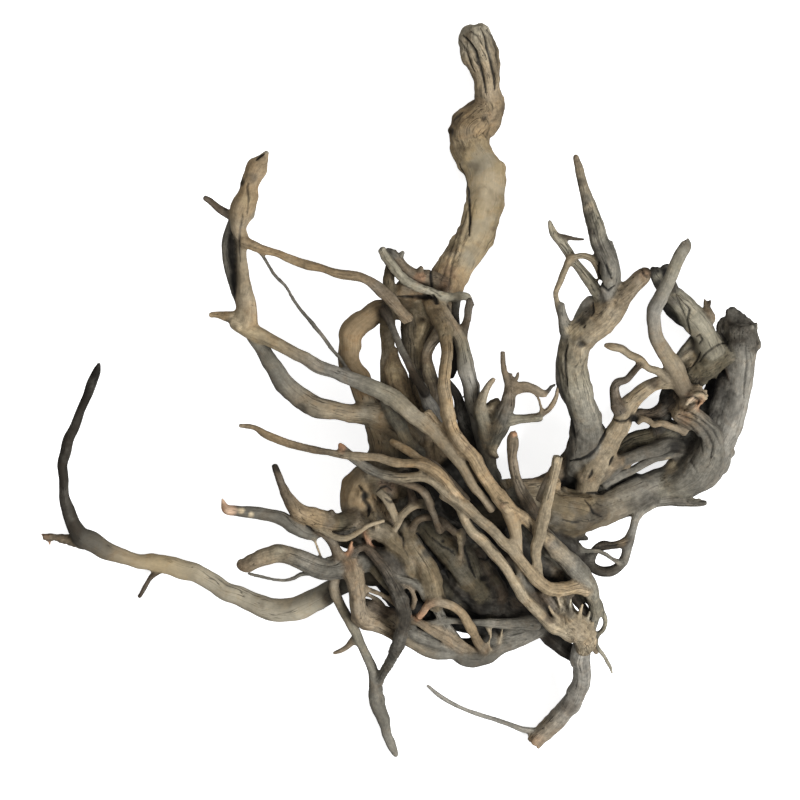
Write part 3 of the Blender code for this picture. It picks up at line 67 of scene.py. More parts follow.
# Routes as (cells across, cells down, height, half thickness)
TRUNKS = {
    "top_trunk": [
        (474, 30, 44, 14), (475, 38, 44, 17), (480, 49, 42, 18.5), (485.5, 62, 38, 17),
        (488.5, 77, 34, 14.6), (488.5, 90, 30, 13.6), (490, 99, 27, 15), (490.5, 108, 24, 17),
        (481, 119, 21, 20.4), (470, 130, 20, 21), (469.5, 143, 20, 20.5), (475, 156, 24, 19),
        (480.5, 169, 30, 18.6), (484.2, 183, 36, 18.8), (483.2, 198, 42, 19.4), (481.6, 212, 48, 19.8),
        (477, 227, 54, 19), (470, 242, 60, 18.5), (462, 257, 66, 18.5), (454, 272, 72, 18.5),
        (447, 286, 78, 18.5), (440, 300, 85, 18), (434, 314, 90, 17), (428, 330, 95, 14),
        (420, 350, 98, 10), (418, 375, 98, 9), (425, 405, 98, 14), (432, 440, 95, 20), (440, 480, 90, 24),
    ],
    "right_trunk": [
        (470, 520, 85, 24), (505, 508, 85, 22), (535, 503, 80, 19), (560, 510, 70, 22), (580, 513, 60, 21),
        (600, 510, 52, 17), (616, 503, 46, 15.5), (633, 495, 40, 17), (651, 487, 34, 15.5),
        (668, 482, 28, 17), (686, 477.5, 24.5, 22), (701, 465.5, 23.5, 25.5), (713, 449.5, 28, 22),
        (723.5, 432, 34, 16.5), (732, 415, 40, 14), (736.8, 397, 46, 13), (741, 378, 52, 13),
        (742, 360, 58, 14.6), (742, 348, 63, 16.6), (740.5, 338, 66, 17), (741.5, 329, 69, 17),
    ],
    "twisted_hook": [
        (652, 492, 32, 13), (668, 488, 38, 15), (684, 480, 42, 17), (698, 469, 47, 17),
        (708, 455, 54, 15.5), (711.5, 441, 61, 13.5), (706, 429, 66, 12), (696, 420, 72, 11),
        (684, 415, 76, 10), (676, 412, 78, 8),
    ],
    "hook_knob": [(684, 412, 78, 9), (690, 402, 84, 11), (697, 394, 88, 11), (701, 391, 90, 8)],
    "stump_limb": [
        (738, 349, 62, 12), (725, 353, 66, 13.5), (711, 362, 68, 15.5), (698, 373, 68, 14.5),
        (690, 386, 66, 11), (686, 398, 64, 8),
    ],
    "hollow_back": [
        (736, 390, 48, 10), (722, 395, 44, 9), (708, 404, 40, 9), (698, 420, 40, 10), (700, 445, 34, 14),
    ],
    "pale_limb": [
        (712, 352, 72, 15), (706, 335, 78, 13), (694.5, 319, 84, 13.5), (683.5, 304, 90, 12),
        (673, 293.5, 95, 10), (661, 283, 100, 8.4), (655, 273, 104, 6.2), (654.5, 268, 105, 4.6),
    ],
    "pale_limb_stub": [(672, 290, 98, 7), (668, 276, 102, 5.5), (666, 266, 105, 4.5)],
    "brown_curl": [
        (699, 333, 74, 6), (695, 340, 70, 4.4), (695, 349, 68, 5.4), (688, 355, 66, 6), (677, 361, 66, 5),
    ],
    "fork_twig": [(708, 324, 80, 5), (712, 318, 84, 4), (707, 308, 86, 3.5), (704, 299, 88, 1.5)],
    "fork_prong": [(707, 311, 86, 3), (709, 304, 88, 2.4), (710.5, 300, 89, 1.6)],
    "curvy_limb": [
        (690, 402, 80, 8), (684, 390, 88, 9), (678, 378, 95, 9.5), (673, 365, 102, 9.4), (665, 351, 110, 8),
        (656.5, 338, 117, 7.3), (653.5, 324, 124, 7.3), (654, 310, 130, 7.3), (660, 297, 136, 7.5),
        (667, 283, 142, 6.7), (674, 269, 148, 6.5), (680, 256, 153, 6.5), (686, 246, 157, 6),
        (685, 241, 158, 4.5),
    ],
    "wavy_twig": [
        (668, 380, 96, 6), (658, 372, 98, 4.2), (648, 368, 100, 4), (640, 360, 103, 4.6),
        (630, 355, 105, 4), (621, 348, 107, 4.2), (612, 346, 109, 4), (604, 345, 110, 1.8),
    ],
    "dropping_twig": [
        (640, 363, 103, 4), (633, 371, 100, 4), (626, 379, 97, 4.2), (617, 382, 94, 4.6), (614, 389, 91, 5),
        (616, 399, 88, 6), (620, 409, 84, 9),
    ],
    "ringed_limb": [
        (670, 380, 94, 8), (656, 383.5, 90, 7), (645.5, 389, 88, 8), (634, 399, 84, 9),
        (625, 411, 80, 10.8), (619, 426, 76, 10.2), (611, 440, 73, 10.6), (604, 453, 71, 11.5),
        (597, 466, 70, 14), (591, 478, 66, 13), (586, 488, 56, 11),
    ],
    "dark_bridge": [
        (678, 392, 76, 8), (667, 405, 66, 8), (653, 413, 64, 5.6), (640, 415, 66, 6), (624, 417, 72, 6),
    ],
    "dark_column": [(668, 390, 66, 7.5), (665, 408, 58, 8.5), (659, 422, 54, 9), (656, 438, 50, 8)],
    "pale_arc": [
        (637, 421, 72, 4), (642, 418.5, 74, 3.2), (648.5, 420.5, 74, 3.2), (654, 424.5, 74, 3.2),
        (660.5, 422.5, 74, 3.4), (667.5, 424.5, 74, 3.6), (675, 428, 72, 3.6), (685, 431, 66, 6),
    ],
    "upper_strap": [
        (598, 474, 62, 10), (612, 467, 66, 8.5), (626, 460, 66, 7), (643, 454, 64, 6.8),
        (657, 448.5, 62, 7.6), (668, 446, 58, 7.6), (680, 446, 48, 7),
    ],
    "lower_strap": [
        (604, 482, 54, 8), (616, 476, 56, 6), (630, 471.5, 54, 4.6), (644, 464, 52, 4.6), (656, 457, 52, 5),
        (668, 452, 50, 7), (680, 452, 44, 8), (692, 452, 38, 9),
    ],
    "dark_strap": [
        (606, 456, 58, 9), (630, 442, 50, 8), (650, 437, 50, 8), (668, 432, 50, 8), (684, 427, 52, 9),
        (700, 430, 52, 10),
    ],
    "fork_stem": [
        (570, 494, 38, 12), (573, 478, 44, 13), (577, 464, 56, 15), (584.5, 448, 72, 15.4),
        (588, 431, 86, 15.4), (586, 414, 97, 14.6), (579.5, 398, 105, 14.2), (576, 382, 112, 13.8),
        (573.5, 366, 119, 14), (574, 352, 125, 15.5), (577, 340, 130, 15.5), (590, 328, 136, 16),
        (604, 317, 142, 16), (613.5, 304.5, 148, 13.4), (622.5, 295, 153, 10.8), (632, 287, 158, 8.8),
        (641, 278.5, 162, 8), (646, 273, 165, 6.5), (650, 271, 166, 3),
    ],
    "scarred_limb": [(576, 342, 126, 12), (583, 326, 127, 12), (588, 312, 130, 10), (594, 301, 136, 9)],
    "stem_strand": [
        (579, 410, 96, 7), (564, 386, 100, 6.4), (560, 368, 105, 6), (562, 350, 112, 6), (568, 335, 120, 8),
    ],
    "fork_left": [(574, 342, 128, 10), (566, 327, 132, 7.5), (563, 315, 136, 5), (561, 304, 138, 4.2)],
    "curl": [
        (566, 324, 132, 6), (560, 312, 134, 4.2), (557, 302, 138, 3.2), (556, 292, 142, 3),
        (561, 280, 146, 4), (564.5, 270, 150, 4), (569, 260, 154, 4), (576, 257, 157, 3.5),
        (584, 256, 158, 3.6), (592, 259, 158, 4.2), (598, 266, 155, 5), (603, 277, 152, 6),
    ],
    "straight_twig": [
        (604, 300, 146, 9), (592, 284.5, 146, 6), (581, 270.5, 147, 5.2), (570.5, 257, 148, 5),
        (562, 245, 150, 5), (554, 236, 152, 5), (551, 228, 154, 3.4), (549, 221, 156, 2.2),
    ],
    "side_twig": [(555, 236, 152, 3.5), (565, 237, 152, 2.9), (575, 239, 152, 2.4), (584, 239, 152, 1.8)],
    "spike": [
        (609, 300, 150, 8), (608, 290, 156, 8), (609, 278, 160, 8.5), (608, 264, 162, 9),
        (604, 250, 165, 9), (599, 236, 170, 8.8), (594, 221, 175, 8.2), (589, 206, 180, 7),
        (585, 192, 184, 5.8), (581, 178, 188, 5), (578, 166, 191, 4.6), (575.5, 157, 193, 3),
    ],
    "spike_strand": [
        (612, 292, 154, 5), (616, 284, 156, 4), (616, 268, 160, 4), (613, 252, 164, 3), (611, 241, 166, 2),
    ],
    "spike_nub": [(613, 291, 152, 5), (621, 284, 154, 3.5)],
    "cut_flake": [(728, 346, 62, 6), (723, 336, 66, 5), (720, 327, 68, 4), (722, 320, 69, 2.4)],
    "cut_corner": [(738, 330, 68, 9), (731, 317, 72, 6), (729, 309, 74, 3)],
    "hollow_wall": [
        (730, 360, 44, 9), (722, 378, 40, 13), (719, 400, 36, 14), (715, 420, 32, 14), (704, 440, 28, 14),
    ],
    "hollow_rod": [(722, 356, 60, 3), (727, 370, 58, 2.6), (731, 384, 56, 2.6), (735, 396, 50, 3)],
    "hollow_slab": [(722, 380, 52, 5), (719, 394, 52, 6), (714, 408, 50, 6), (706, 424, 46, 8)],
    "base_lump": [
        (628, 462, 62, 7), (612, 464, 66, 9), (600, 470, 68, 12), (590, 474, 68, 12), (582, 470, 62, 9),
    ],
    "low_lip": [
        (588, 490, 44, 8), (602, 486, 42, 8), (616, 480.5, 40, 7), (628, 476.5, 36, 4.6), (638, 477, 34, 4),
    ],
    "trunk_rib": [
        (668, 476, 28, 9), (677, 462, 36, 9), (686, 450, 42, 8), (694, 438, 46, 8), (704, 430, 48, 9),
    ],
    "stem_foot": [
        (577, 440, 66, 9), (572, 453, 58, 9), (566, 463, 54, 9), (557, 472, 54, 8), (546, 480, 58, 7),
        (532, 487, 64, 7),
    ],
    "curl_back": [(692, 324, 78, 7), (681, 316, 78, 7.5), (671, 308, 78, 7), (664, 302, 84, 6)],
    "column_web": [(588, 418, 84, 8), (599, 431, 70, 6), (609, 442, 66, 6)],
    "stump_back": [
        (697, 336, 68, 7), (690, 345, 67, 6.6), (683, 354, 66, 6.4), (677, 364, 68, 7), (680, 376, 72, 8),
    ],
}

UPPER_LEFT = {
    "spear": [
        (246, 326, 150, 13), (245.5, 305, 152, 10.8), (244, 292, 154, 8), (243, 280, 157, 5.8),
        (242, 266, 160, 5.4), (241.5, 252, 163, 4.8), (242.5, 240, 166, 6), (240, 228, 169, 7.4),
        (241.5, 218, 171, 10), (244, 207, 174, 12), (246.5, 196, 177, 10.6), (249, 186, 180, 9.3),
        (253.5, 176, 183, 9.8), (258, 167, 186, 10.4), (262, 160, 188, 6.6), (265.5, 154, 190, 3.6),
        (267, 151, 191, 2.2),
    ],
    "spear_back": [
        (241, 306, 146, 5), (236, 291, 145, 4.5), (231.5, 278, 146, 4.5), (227, 262, 148, 4.5),
        (227, 247, 151, 4.5), (229, 233, 155, 4.5), (235, 220, 162, 6), (240, 212, 168, 6),
    ],
    "spear_web": [(240, 295, 150, 5), (236, 275, 150, 5), (234, 255, 152, 5.5), (235, 235, 158, 5.5)],
    "spear_twig": [
        (238, 217, 169, 6), (229, 214.5, 168, 4.8), (219.5, 209, 169, 4.4), (211, 202, 170, 4),
        (204, 197.5, 171, 3),
    ],
    "spear_stub": [(238, 315, 150, 5), (226, 317, 150, 5.4), (217, 315, 150, 3.4), (210, 315, 150, 2.8)],
    "spear_knot": [(247, 184, 178, 5), (241.5, 183, 177, 3.5)],
    "cross_root": [
        (243, 240, 168, 6), (253, 246, 172, 5.3), (263, 250, 174, 4.5), (276, 253.5, 176, 4.3),
        (290, 258.5, 178, 4.3), (305, 264.5, 180, 4.6), (320, 268.5, 182, 4.8), (335, 273, 184, 5),
        (350, 275.5, 184, 5), (362, 277.5, 182, 5.3), (372, 282, 178, 6), (381, 290, 174, 6.6),
        (391, 301, 168, 6.4), (400, 310, 162, 6.2), (409, 318.5, 155, 6.2),
    ],
    "thin_rootlet": [
        (258, 248, 172, 3), (266, 261, 170, 2.1), (275, 276, 168, 2.1), (286, 287, 166, 2),
        (293.5, 300, 163, 2.2), (301.5, 311, 160, 2.4), (311, 322, 158, 2.6), (321.5, 334.5, 157, 2.5),
        (331.5, 348, 158, 2.5), (341, 359, 160, 2.4), (347, 369, 164, 2.6), (354, 378, 168, 3),
    ],
    "knee_root": [
        (233, 322, 150, 7.5), (244, 326, 151, 9.5), (258, 335, 152, 8.5), (273, 342.5, 154, 7),
        (290, 350.5, 157, 6.3), (305, 358.5, 160, 6.5), (320, 367, 163, 6.8), (335, 372.5, 166, 6.6),
        (350, 378.5, 169, 7), (365, 385, 172, 8), (380, 390.5, 175, 9.3), (392, 396.5, 177, 10.2),
        (402, 405, 179, 9.5), (412, 414.5, 181, 8.5), (422, 423, 183, 7.2), (432, 432.5, 185, 6.6),
        (442, 443, 187, 6), (452, 454, 189, 5.8), (460, 464, 190, 5.5), (468, 477, 190, 5.2),
        (475, 488, 188, 4.8), (483, 499, 184, 4.5), (492, 510, 178, 5),
    ],
    "lower_knee_root": [
        (244, 322, 148, 9), (252, 333, 146, 8.5), (262.5, 348.5, 140, 8), (273, 366, 134, 9),
        (289, 388, 128, 10.2), (304, 401, 124, 11), (322, 408.5, 121, 11.2), (340, 411.5, 120, 10),
        (360, 413.5, 120, 10.8), (377, 415, 120, 12), (392, 422, 118, 12), (410, 440, 108, 14),
    ],
    "loop_root": [
        (424, 308, 98, 13), (402, 306, 108, 13), (388, 309, 111, 11), (373, 314, 112, 11.5),
        (359, 323, 112, 12), (350, 336, 112, 11.8), (348.5, 350, 112, 11.5), (351.5, 364, 112, 11.4),
        (358, 378, 112, 11.6), (364, 393, 112, 11.5), (371, 408, 110, 12), (377, 424, 108, 13),
        (381, 440, 105, 14), (384, 455, 102, 16), (377, 474, 98, 18.4), (365, 490, 97, 21),
        (362, 507, 96, 20), (372, 522, 95, 18), (390, 535, 92, 18),
    ],
    "grey_strand": [
        (382, 249, 148, 4.2), (387, 258, 148, 5), (394, 267, 147, 4.8), (401, 276, 145, 4.8),
        (410, 283, 142, 4.8), (420, 288, 140, 4.4), (430, 291.5, 137, 4.4), (442, 296, 134, 5.2),
        (454, 297, 132, 5), (464, 296.5, 132, 4.6), (470, 299, 132, 3.8),
    ],
    "brown_ridge": [
        (393, 252, 138, 5), (398, 260, 136, 5.6), (405, 269.5, 132, 6.8), (416, 277, 127, 8),
        (428, 280, 118, 10), (441, 286, 104, 12),
    ],
    "ridge_nub": [(400, 258, 137, 4), (403.5, 251.5, 138, 2.5)],
    "ridge_nub_low": [(419, 274, 130, 5), (422, 267, 132, 2.8)],
    "tan_lump": [(400, 288, 120, 12), (414, 294, 116, 14), (430, 304, 112, 15), (442, 318, 110, 12)],
    "dark_post": [
        (394, 256, 132, 5), (389, 276, 128, 5.5), (390, 292, 125, 6), (389, 310, 122, 7),
        (388, 326, 120, 7.5), (388, 340, 118, 7), (387, 352, 116, 5.5), (383.5, 365, 114, 3.4),
        (383, 380, 112, 2.8), (386, 396, 110, 5),
    ],
    "slanting_strand": [
        (384, 309, 128, 5), (390, 323, 134, 4), (396, 335, 142, 3.8), (401, 347, 144, 4),
        (407, 359, 146, 4.2), (412, 371, 148, 4.2), (418, 383, 148, 4.4), (426, 394, 146, 5),
    ],
    "dark_brown_post": [
        (410, 314, 112, 9), (410, 340, 110, 8.4), (412, 356, 108, 8), (416, 372, 106, 7),
        (419, 390, 104, 6), (420, 412, 102, 7),
    ],
    "tan_wedge": [
        (392, 350, 116, 5), (394, 358, 118, 6), (396, 370, 118, 11), (398, 382, 120, 12),
        (402, 396, 122, 11), (410, 412, 118, 10),
    ],
    "pale_wedge": [(422, 326, 112, 8), (421, 336, 114, 6), (421, 350, 114, 4.5), (420, 366, 110, 4)],
    "pale_post": [
        (444, 318, 122, 9), (440, 332, 127, 7), (430, 345, 124, 5.4), (426, 358, 120, 5.5),
        (428.5, 372, 118, 7), (432.5, 385, 116, 7.6), (434, 400, 114, 7), (436, 415, 112, 8),
        (438, 432, 108, 10),
    ],
    "pale_grey_strand": [
        (384, 398, 124, 6), (388, 407, 130, 6), (394, 418, 132, 7.5), (401, 431, 132, 7.5),
        (408, 443, 128, 7), (418, 456, 116, 9),
    ],
    "grey_blue_strand": [
        (420, 384, 140, 5), (424, 393, 140, 5.4), (430, 405, 140, 7), (435, 418, 134, 7),
        (440, 434, 120, 8),
    ],
    "brown_strip": [
        (426, 414, 178, 6), (436, 425, 179, 5.4), (446, 438, 181, 5), (457, 451, 183, 5),
        (468, 466, 183, 5.5), (478, 480, 180, 5),
    ],
    "spear_shoulder": [(250, 216, 172, 6), (252, 205, 174, 5), (252, 194, 176, 4.6), (252, 184, 179, 4)],
    "left_knob": [(386, 252, 142, 4.6), (393, 254, 139, 5.6)],
}

CENTRE = {
    "long_brown_root": [
        (436, 308, 126, 12), (438, 318, 144, 9), (443, 330, 156, 8), (446.5, 345, 165, 6),
        (446, 360, 172, 5.6), (445, 375, 177, 6), (444, 390, 181, 6.8), (446, 405, 185, 7),
        (449.5, 419, 188, 6.6), (454, 431, 191, 6.6), (461, 442, 193, 6.6), (469, 452, 195, 6.8),
        (477, 462, 196, 7), (484, 474, 196, 6.6), (491, 487, 195, 6.6), (499, 498, 193, 7.6),
        (506, 505, 191, 7.6), (514, 511.5, 187, 6.4), (523, 518, 182, 5.8), (531, 525.5, 177, 5.8),
        (539, 534, 171, 6.4), (548, 543, 165, 8), (558, 552, 158, 9.2), (569, 562, 151, 9.8),
        (580, 572.5, 144, 9.9), (588.5, 584, 136, 9.2), (593.5, 596, 128, 7.2), (594, 612, 112, 6.8),
        (590, 627, 96, 7.4), (584, 641, 80, 9), (581, 656, 62, 9.5), (581, 670, 48, 9), (580, 683, 36, 9.2),
        (576, 695, 27, 9.5), (568, 708, 20, 9.7), (556, 720.5, 14, 9.7), (544, 733, 10, 9.2),
        (535, 742, 8, 8.2),
    ],
    "down_branch": [
        (503, 501, 189, 7), (509, 512, 188, 7.2), (513.5, 525, 186, 7), (516.5, 539, 181, 6.4),
        (518, 553, 175, 5.8), (520, 566, 168, 5.6), (524, 579, 160, 5.6), (529, 591, 152, 6),
    ],
    "smooth_grey_root": [
        (436, 302, 128, 8), (443, 311, 138, 6), (449, 321, 143, 6), (455, 331, 146, 6.8),
        (461, 342, 148, 7), (463.8, 354, 150, 7.2), (466, 367, 151, 8.4), (469, 381, 151, 8.6),
        (472, 394, 150, 8.6), (475, 408, 148, 7.5), (478, 424, 144, 7), (482, 442, 140, 6.5),
        (487, 460, 136, 6.5), (493, 478, 130, 7), (500, 495, 120, 9),
    ],
    "reddish_stub": [
        (461, 338, 146, 6), (463, 330, 146, 5), (467, 318, 147, 4.2), (469, 306, 147, 4),
        (470, 299, 147, 3.5),
    ],
    "stub_nub": [(469, 306, 147, 3), (474, 304, 148, 1.8)],
    "dark_sliver": [(456, 326, 136, 5), (456, 312, 130, 4.6), (456.5, 300, 128, 5)],
    "upper_runner": [
        (239.5, 426, 150, 2.4), (250, 426.5, 151, 2.9), (257, 428.5, 152, 3.2), (265, 434, 154, 4.3),
        (275, 438.5, 156, 4.4), (288, 443.5, 158, 4.1), (300, 446.5, 160, 4), (315, 449.5, 162, 3.8),
        (330, 452, 164, 3.9), (345, 455, 167, 4), (360, 456, 171, 4.3), (376, 457.5, 175, 4.4),
        (391, 461.5, 178, 4.5), (405, 463.5, 181, 4.6), (417, 464, 184, 5), (428, 466.5, 187, 6),
        (437, 472.5, 189, 6.4), (446, 482, 190, 6), (455, 493, 189, 5.6), (463, 501, 187, 5),
        (471, 508.5, 185, 5),
    ],
    "lower_runner": [
        (339, 444, 163, 2.5), (343, 449, 163, 4.4), (352, 456.5, 164, 4.8), (363, 465, 165, 5),
        (377, 472.5, 167, 5), (391, 476, 171, 4.9), (405, 477.5, 176, 4.9), (419, 476, 181, 5),
        (431, 478, 184, 5.4), (441, 485.5, 186, 5.6), (451, 495, 187, 5.6), (461, 503, 188, 5.5),
        (471, 510.5, 188, 5.6), (481, 519, 188, 5.8), (491, 528.5, 187, 5.8), (501, 538, 186, 5.9),
        (511, 548, 184, 6), (520, 559, 180, 6), (529, 570.5, 175, 6), (538, 581, 169, 6.4),
        (549, 588.5, 162, 6.8), (562, 590, 152, 7), (576, 587, 144, 7), (588, 588, 136, 8),
    ],
    "runner_strand": [
        (378, 474, 166, 5), (388, 479, 167, 3.8), (400, 481.5, 167, 3.7), (412, 484.5, 167, 3.8),
        (421, 490.5, 166, 4), (427.5, 499, 163, 4), (431, 507.5, 157, 3.9), (434, 515, 148, 3.4),
        (436, 522, 136, 3.4), (440, 530, 118, 4.5),
    ],
    "middle_root": [
        (444, 494, 182, 5.6), (458, 508, 180, 4.8), (465, 519, 181, 5), (471.5, 530, 181, 5.2),
        (480.5, 538.5, 181, 5.5), (490, 549, 180, 5.8), (499, 558.5, 178, 5.6), (506, 570, 174, 5),
        (512, 580, 170, 4.8), (519.5, 591, 164, 5), (528, 602, 158, 5.4), (537, 612, 150, 5.6),
        (547, 622, 142, 6), (559, 630, 132, 7), (573, 636, 118, 8),
    ],
    "between_strand": [
        (508, 556, 168, 6), (516, 570, 160, 5.4), (524, 583, 156, 5.5), (532, 596, 150, 6),
        (540, 610, 140, 7), (556, 622, 128, 8),
    ],
    "short_strand": [
        (391, 441.5, 160, 3.6), (397, 445, 164, 4.4), (404, 449, 168, 4.4), (412, 453.5, 172, 4.4),
        (420, 459, 178, 4.6), (428, 464.5, 184, 5),
    ],
    "left_horn": [
        (494, 379, 168, 2.6), (487, 387, 166, 3.6), (483, 395, 164, 4.6), (481, 406, 160, 6.5),
        (482, 419, 156, 7.5), (486, 432, 150, 7.6), (490, 446, 142, 7), (491, 462, 132, 6.4),
        (494, 480, 120, 7),
    ],
    "cut_knob": [(491.5, 405.5, 152, 9), (497, 413, 150, 9), (498, 424, 146, 9)],
    "right_horn": [
        (508.5, 382, 173, 4.6), (509.5, 392, 170, 6), (508, 402, 166, 6.8), (505, 414, 161, 8.2),
        (501.5, 427, 155, 9.4), (495.5, 440, 148, 7.6), (490.5, 455, 140, 6), (491.5, 470, 130, 5.4),
        (497, 485, 118, 6.6), (510, 498, 104, 10),
    ],
    "horn_tip": [
        (502.5, 352, 186, 2.8), (503, 361, 183, 2.9), (504, 370, 180, 3.2), (507, 378, 176, 4),
        (510, 388, 171, 5),
    ],
    "horn_prong": [(508, 380, 175, 3), (512, 374, 177, 1.6)],
    "horn_fork": [(509, 386, 173, 3.4), (513, 383, 175, 2.6), (517, 378, 177, 2.2), (518, 372, 178, 1.6)],
    "horn_arm": [
        (510, 390, 170, 5), (521, 385.5, 172, 4.4), (530, 387, 173, 4.6), (539, 392, 174, 4.4),
        (546, 395, 174, 3),
    ],
    "burnt_tip": [(542, 393, 174, 3), (547, 392, 174, 2.6), (551, 387, 176, 2.3), (556, 384, 178, 1.4)],
    "thin_bow": [
        (512, 391.5, 168, 5), (522, 390.5, 168, 3.2), (531, 391, 168, 3), (537, 396.5, 167, 1.9),
        (540, 405, 166, 1.9), (541, 413, 165, 2.4),
    ],
    "cut_arm": [
        (503, 422, 159, 6), (516, 420, 161, 5), (527, 419, 162, 4.6), (536, 418.5, 163, 4.8),
        (541.5, 417.5, 163, 4.6),
    ],
    "thin_bow_low": [
        (536, 416, 163, 3.4), (547, 411, 165, 3), (553, 404, 168, 3), (556.5, 395, 171, 2.6),
        (557, 387, 174, 1.8),
    ],
    "horn_root": [(486, 448, 142, 5), (491, 463, 136, 4.8), (496, 480, 128, 5)],
    "horn_knob": [(491, 449, 146, 5), (495.5, 456, 147, 3.4), (498, 458, 148, 2.4)],
    "broken_stick": [
        (514, 432.5, 186, 3.5), (512.5, 441, 184, 5.6), (511, 452, 180, 5.4), (512.5, 464, 176, 5),
        (516, 477, 171, 5.3), (521, 490, 166, 5.8), (527, 503, 160, 6.4), (533, 516, 152, 7),
        (540, 530, 146, 8), (547, 543, 146, 9),
    ],
    "pale_stick": [
        (508.5, 480, 144, 3.4), (511.5, 486, 147, 4.2), (515, 495, 146, 5), (521, 508, 142, 5.6),
        (530, 524, 142, 7),
    ],
    "upright_stick": [
        (558, 457, 197, 5.4), (556.2, 464.5, 195, 4.8), (552.5, 480, 192, 4.8), (549, 494, 190, 5),
        (546, 507, 188, 5.8), (542.5, 521, 186, 6.8), (539, 535, 183, 6.6), (536, 549, 177, 5.8),
        (536, 562, 170, 5), (538, 574, 165, 5), (542, 586, 160, 5.5),
    ],
    "lower_right_knot": [
        (558, 596, 138, 8), (562, 607, 134, 9), (566, 618, 130, 12), (576, 626, 122, 14),
        (583, 634, 108, 12.5), (584, 648, 88, 10),
    ],
    "knot_strand_a": [(542, 590, 152, 6), (552, 605, 142, 5.6), (560, 616, 134, 7)],
    "knot_strand_b": [(572, 588, 140, 6), (566, 599, 138, 5), (566, 612, 132, 7)],
    "grey_panel": [
        (510, 492, 148, 8), (519, 503, 146, 10), (526, 517, 143, 11), (536, 530, 142, 11),
        (548, 543, 142, 11), (560, 555, 140, 11), (574, 568, 134, 11), (584, 582, 126, 10),
        (590, 598, 114, 8),
    ],
    "back_sliver": [(457, 332, 134, 5), (456, 350, 130, 3.8), (455, 364, 128, 4.6), (451, 377, 132, 4)],
    "back_strand": [
        (446, 382, 150, 5), (454, 391, 144, 4.4), (459, 402, 138, 5.4), (463, 416, 130, 7),
        (469, 431, 124, 8), (476, 447, 118, 8), (484, 464, 108, 10), (492, 482, 96, 12),
    ],
    "hollow_floor": [(446, 466, 110, 12), (460, 480, 104, 13), (476, 492, 96, 14), (494, 500, 90, 14)],
    "trunk_back": [(500, 491, 92, 10), (520, 488, 88, 9.4), (540, 486, 84, 8.6), (556, 482, 78, 8)],
    "stick_side": [(540, 500, 180, 5), (544, 490, 184, 4.6), (549, 479, 188, 4.4), (554, 468, 191, 4)],
    "dark_fill": [
        (512, 528, 134, 9), (520, 543, 132, 11), (531, 557, 130, 12), (543, 567, 128, 12),
        (556, 573, 124, 10), (570, 587, 118, 7),
    ],
    "panel_web": [(566, 586, 118, 6), (574, 596, 112, 6), (581, 606, 106, 5), (588, 618, 98, 5)],
    "knot_spike_a": [(566, 616, 134, 4), (561, 606, 147, 2.4), (557.5, 598, 153, 1.7)],
    "knot_spike_b": [(573, 620, 130, 4.4), (570, 607, 148, 2.3), (571, 599, 154, 1.6)],
    "knot_spike_c": [(578, 623, 126, 4.4), (580.5, 611, 142, 2.3), (582.5, 604, 147, 1.6)],
    "knot_spike_d": [(583, 628, 120, 4.4), (588, 618, 131, 2.3), (590, 611, 136, 1.6)],
    "knot_spike_e": [(584, 636, 108, 5), (591, 629, 121, 2.3), (593.5, 622, 127, 1.6)],
    "knot_spike_f": [(560, 624, 136, 4.4), (553, 614, 148, 2.3), (548, 606, 153, 1.6)],
    "under_runner": [
        (422, 459, 172, 4), (433, 464, 172, 4.2), (443, 472.5, 172, 4.2), (452, 482.5, 172, 4.2),
        (460, 492.5, 171, 4.2), (467, 502, 168, 4.4),
    ],
    "runner_core": [
        (392, 446, 96, 9), (397, 460, 98, 12), (399, 476, 98, 12), (400, 492, 96, 13), (404, 508, 90, 12),
    ],
}

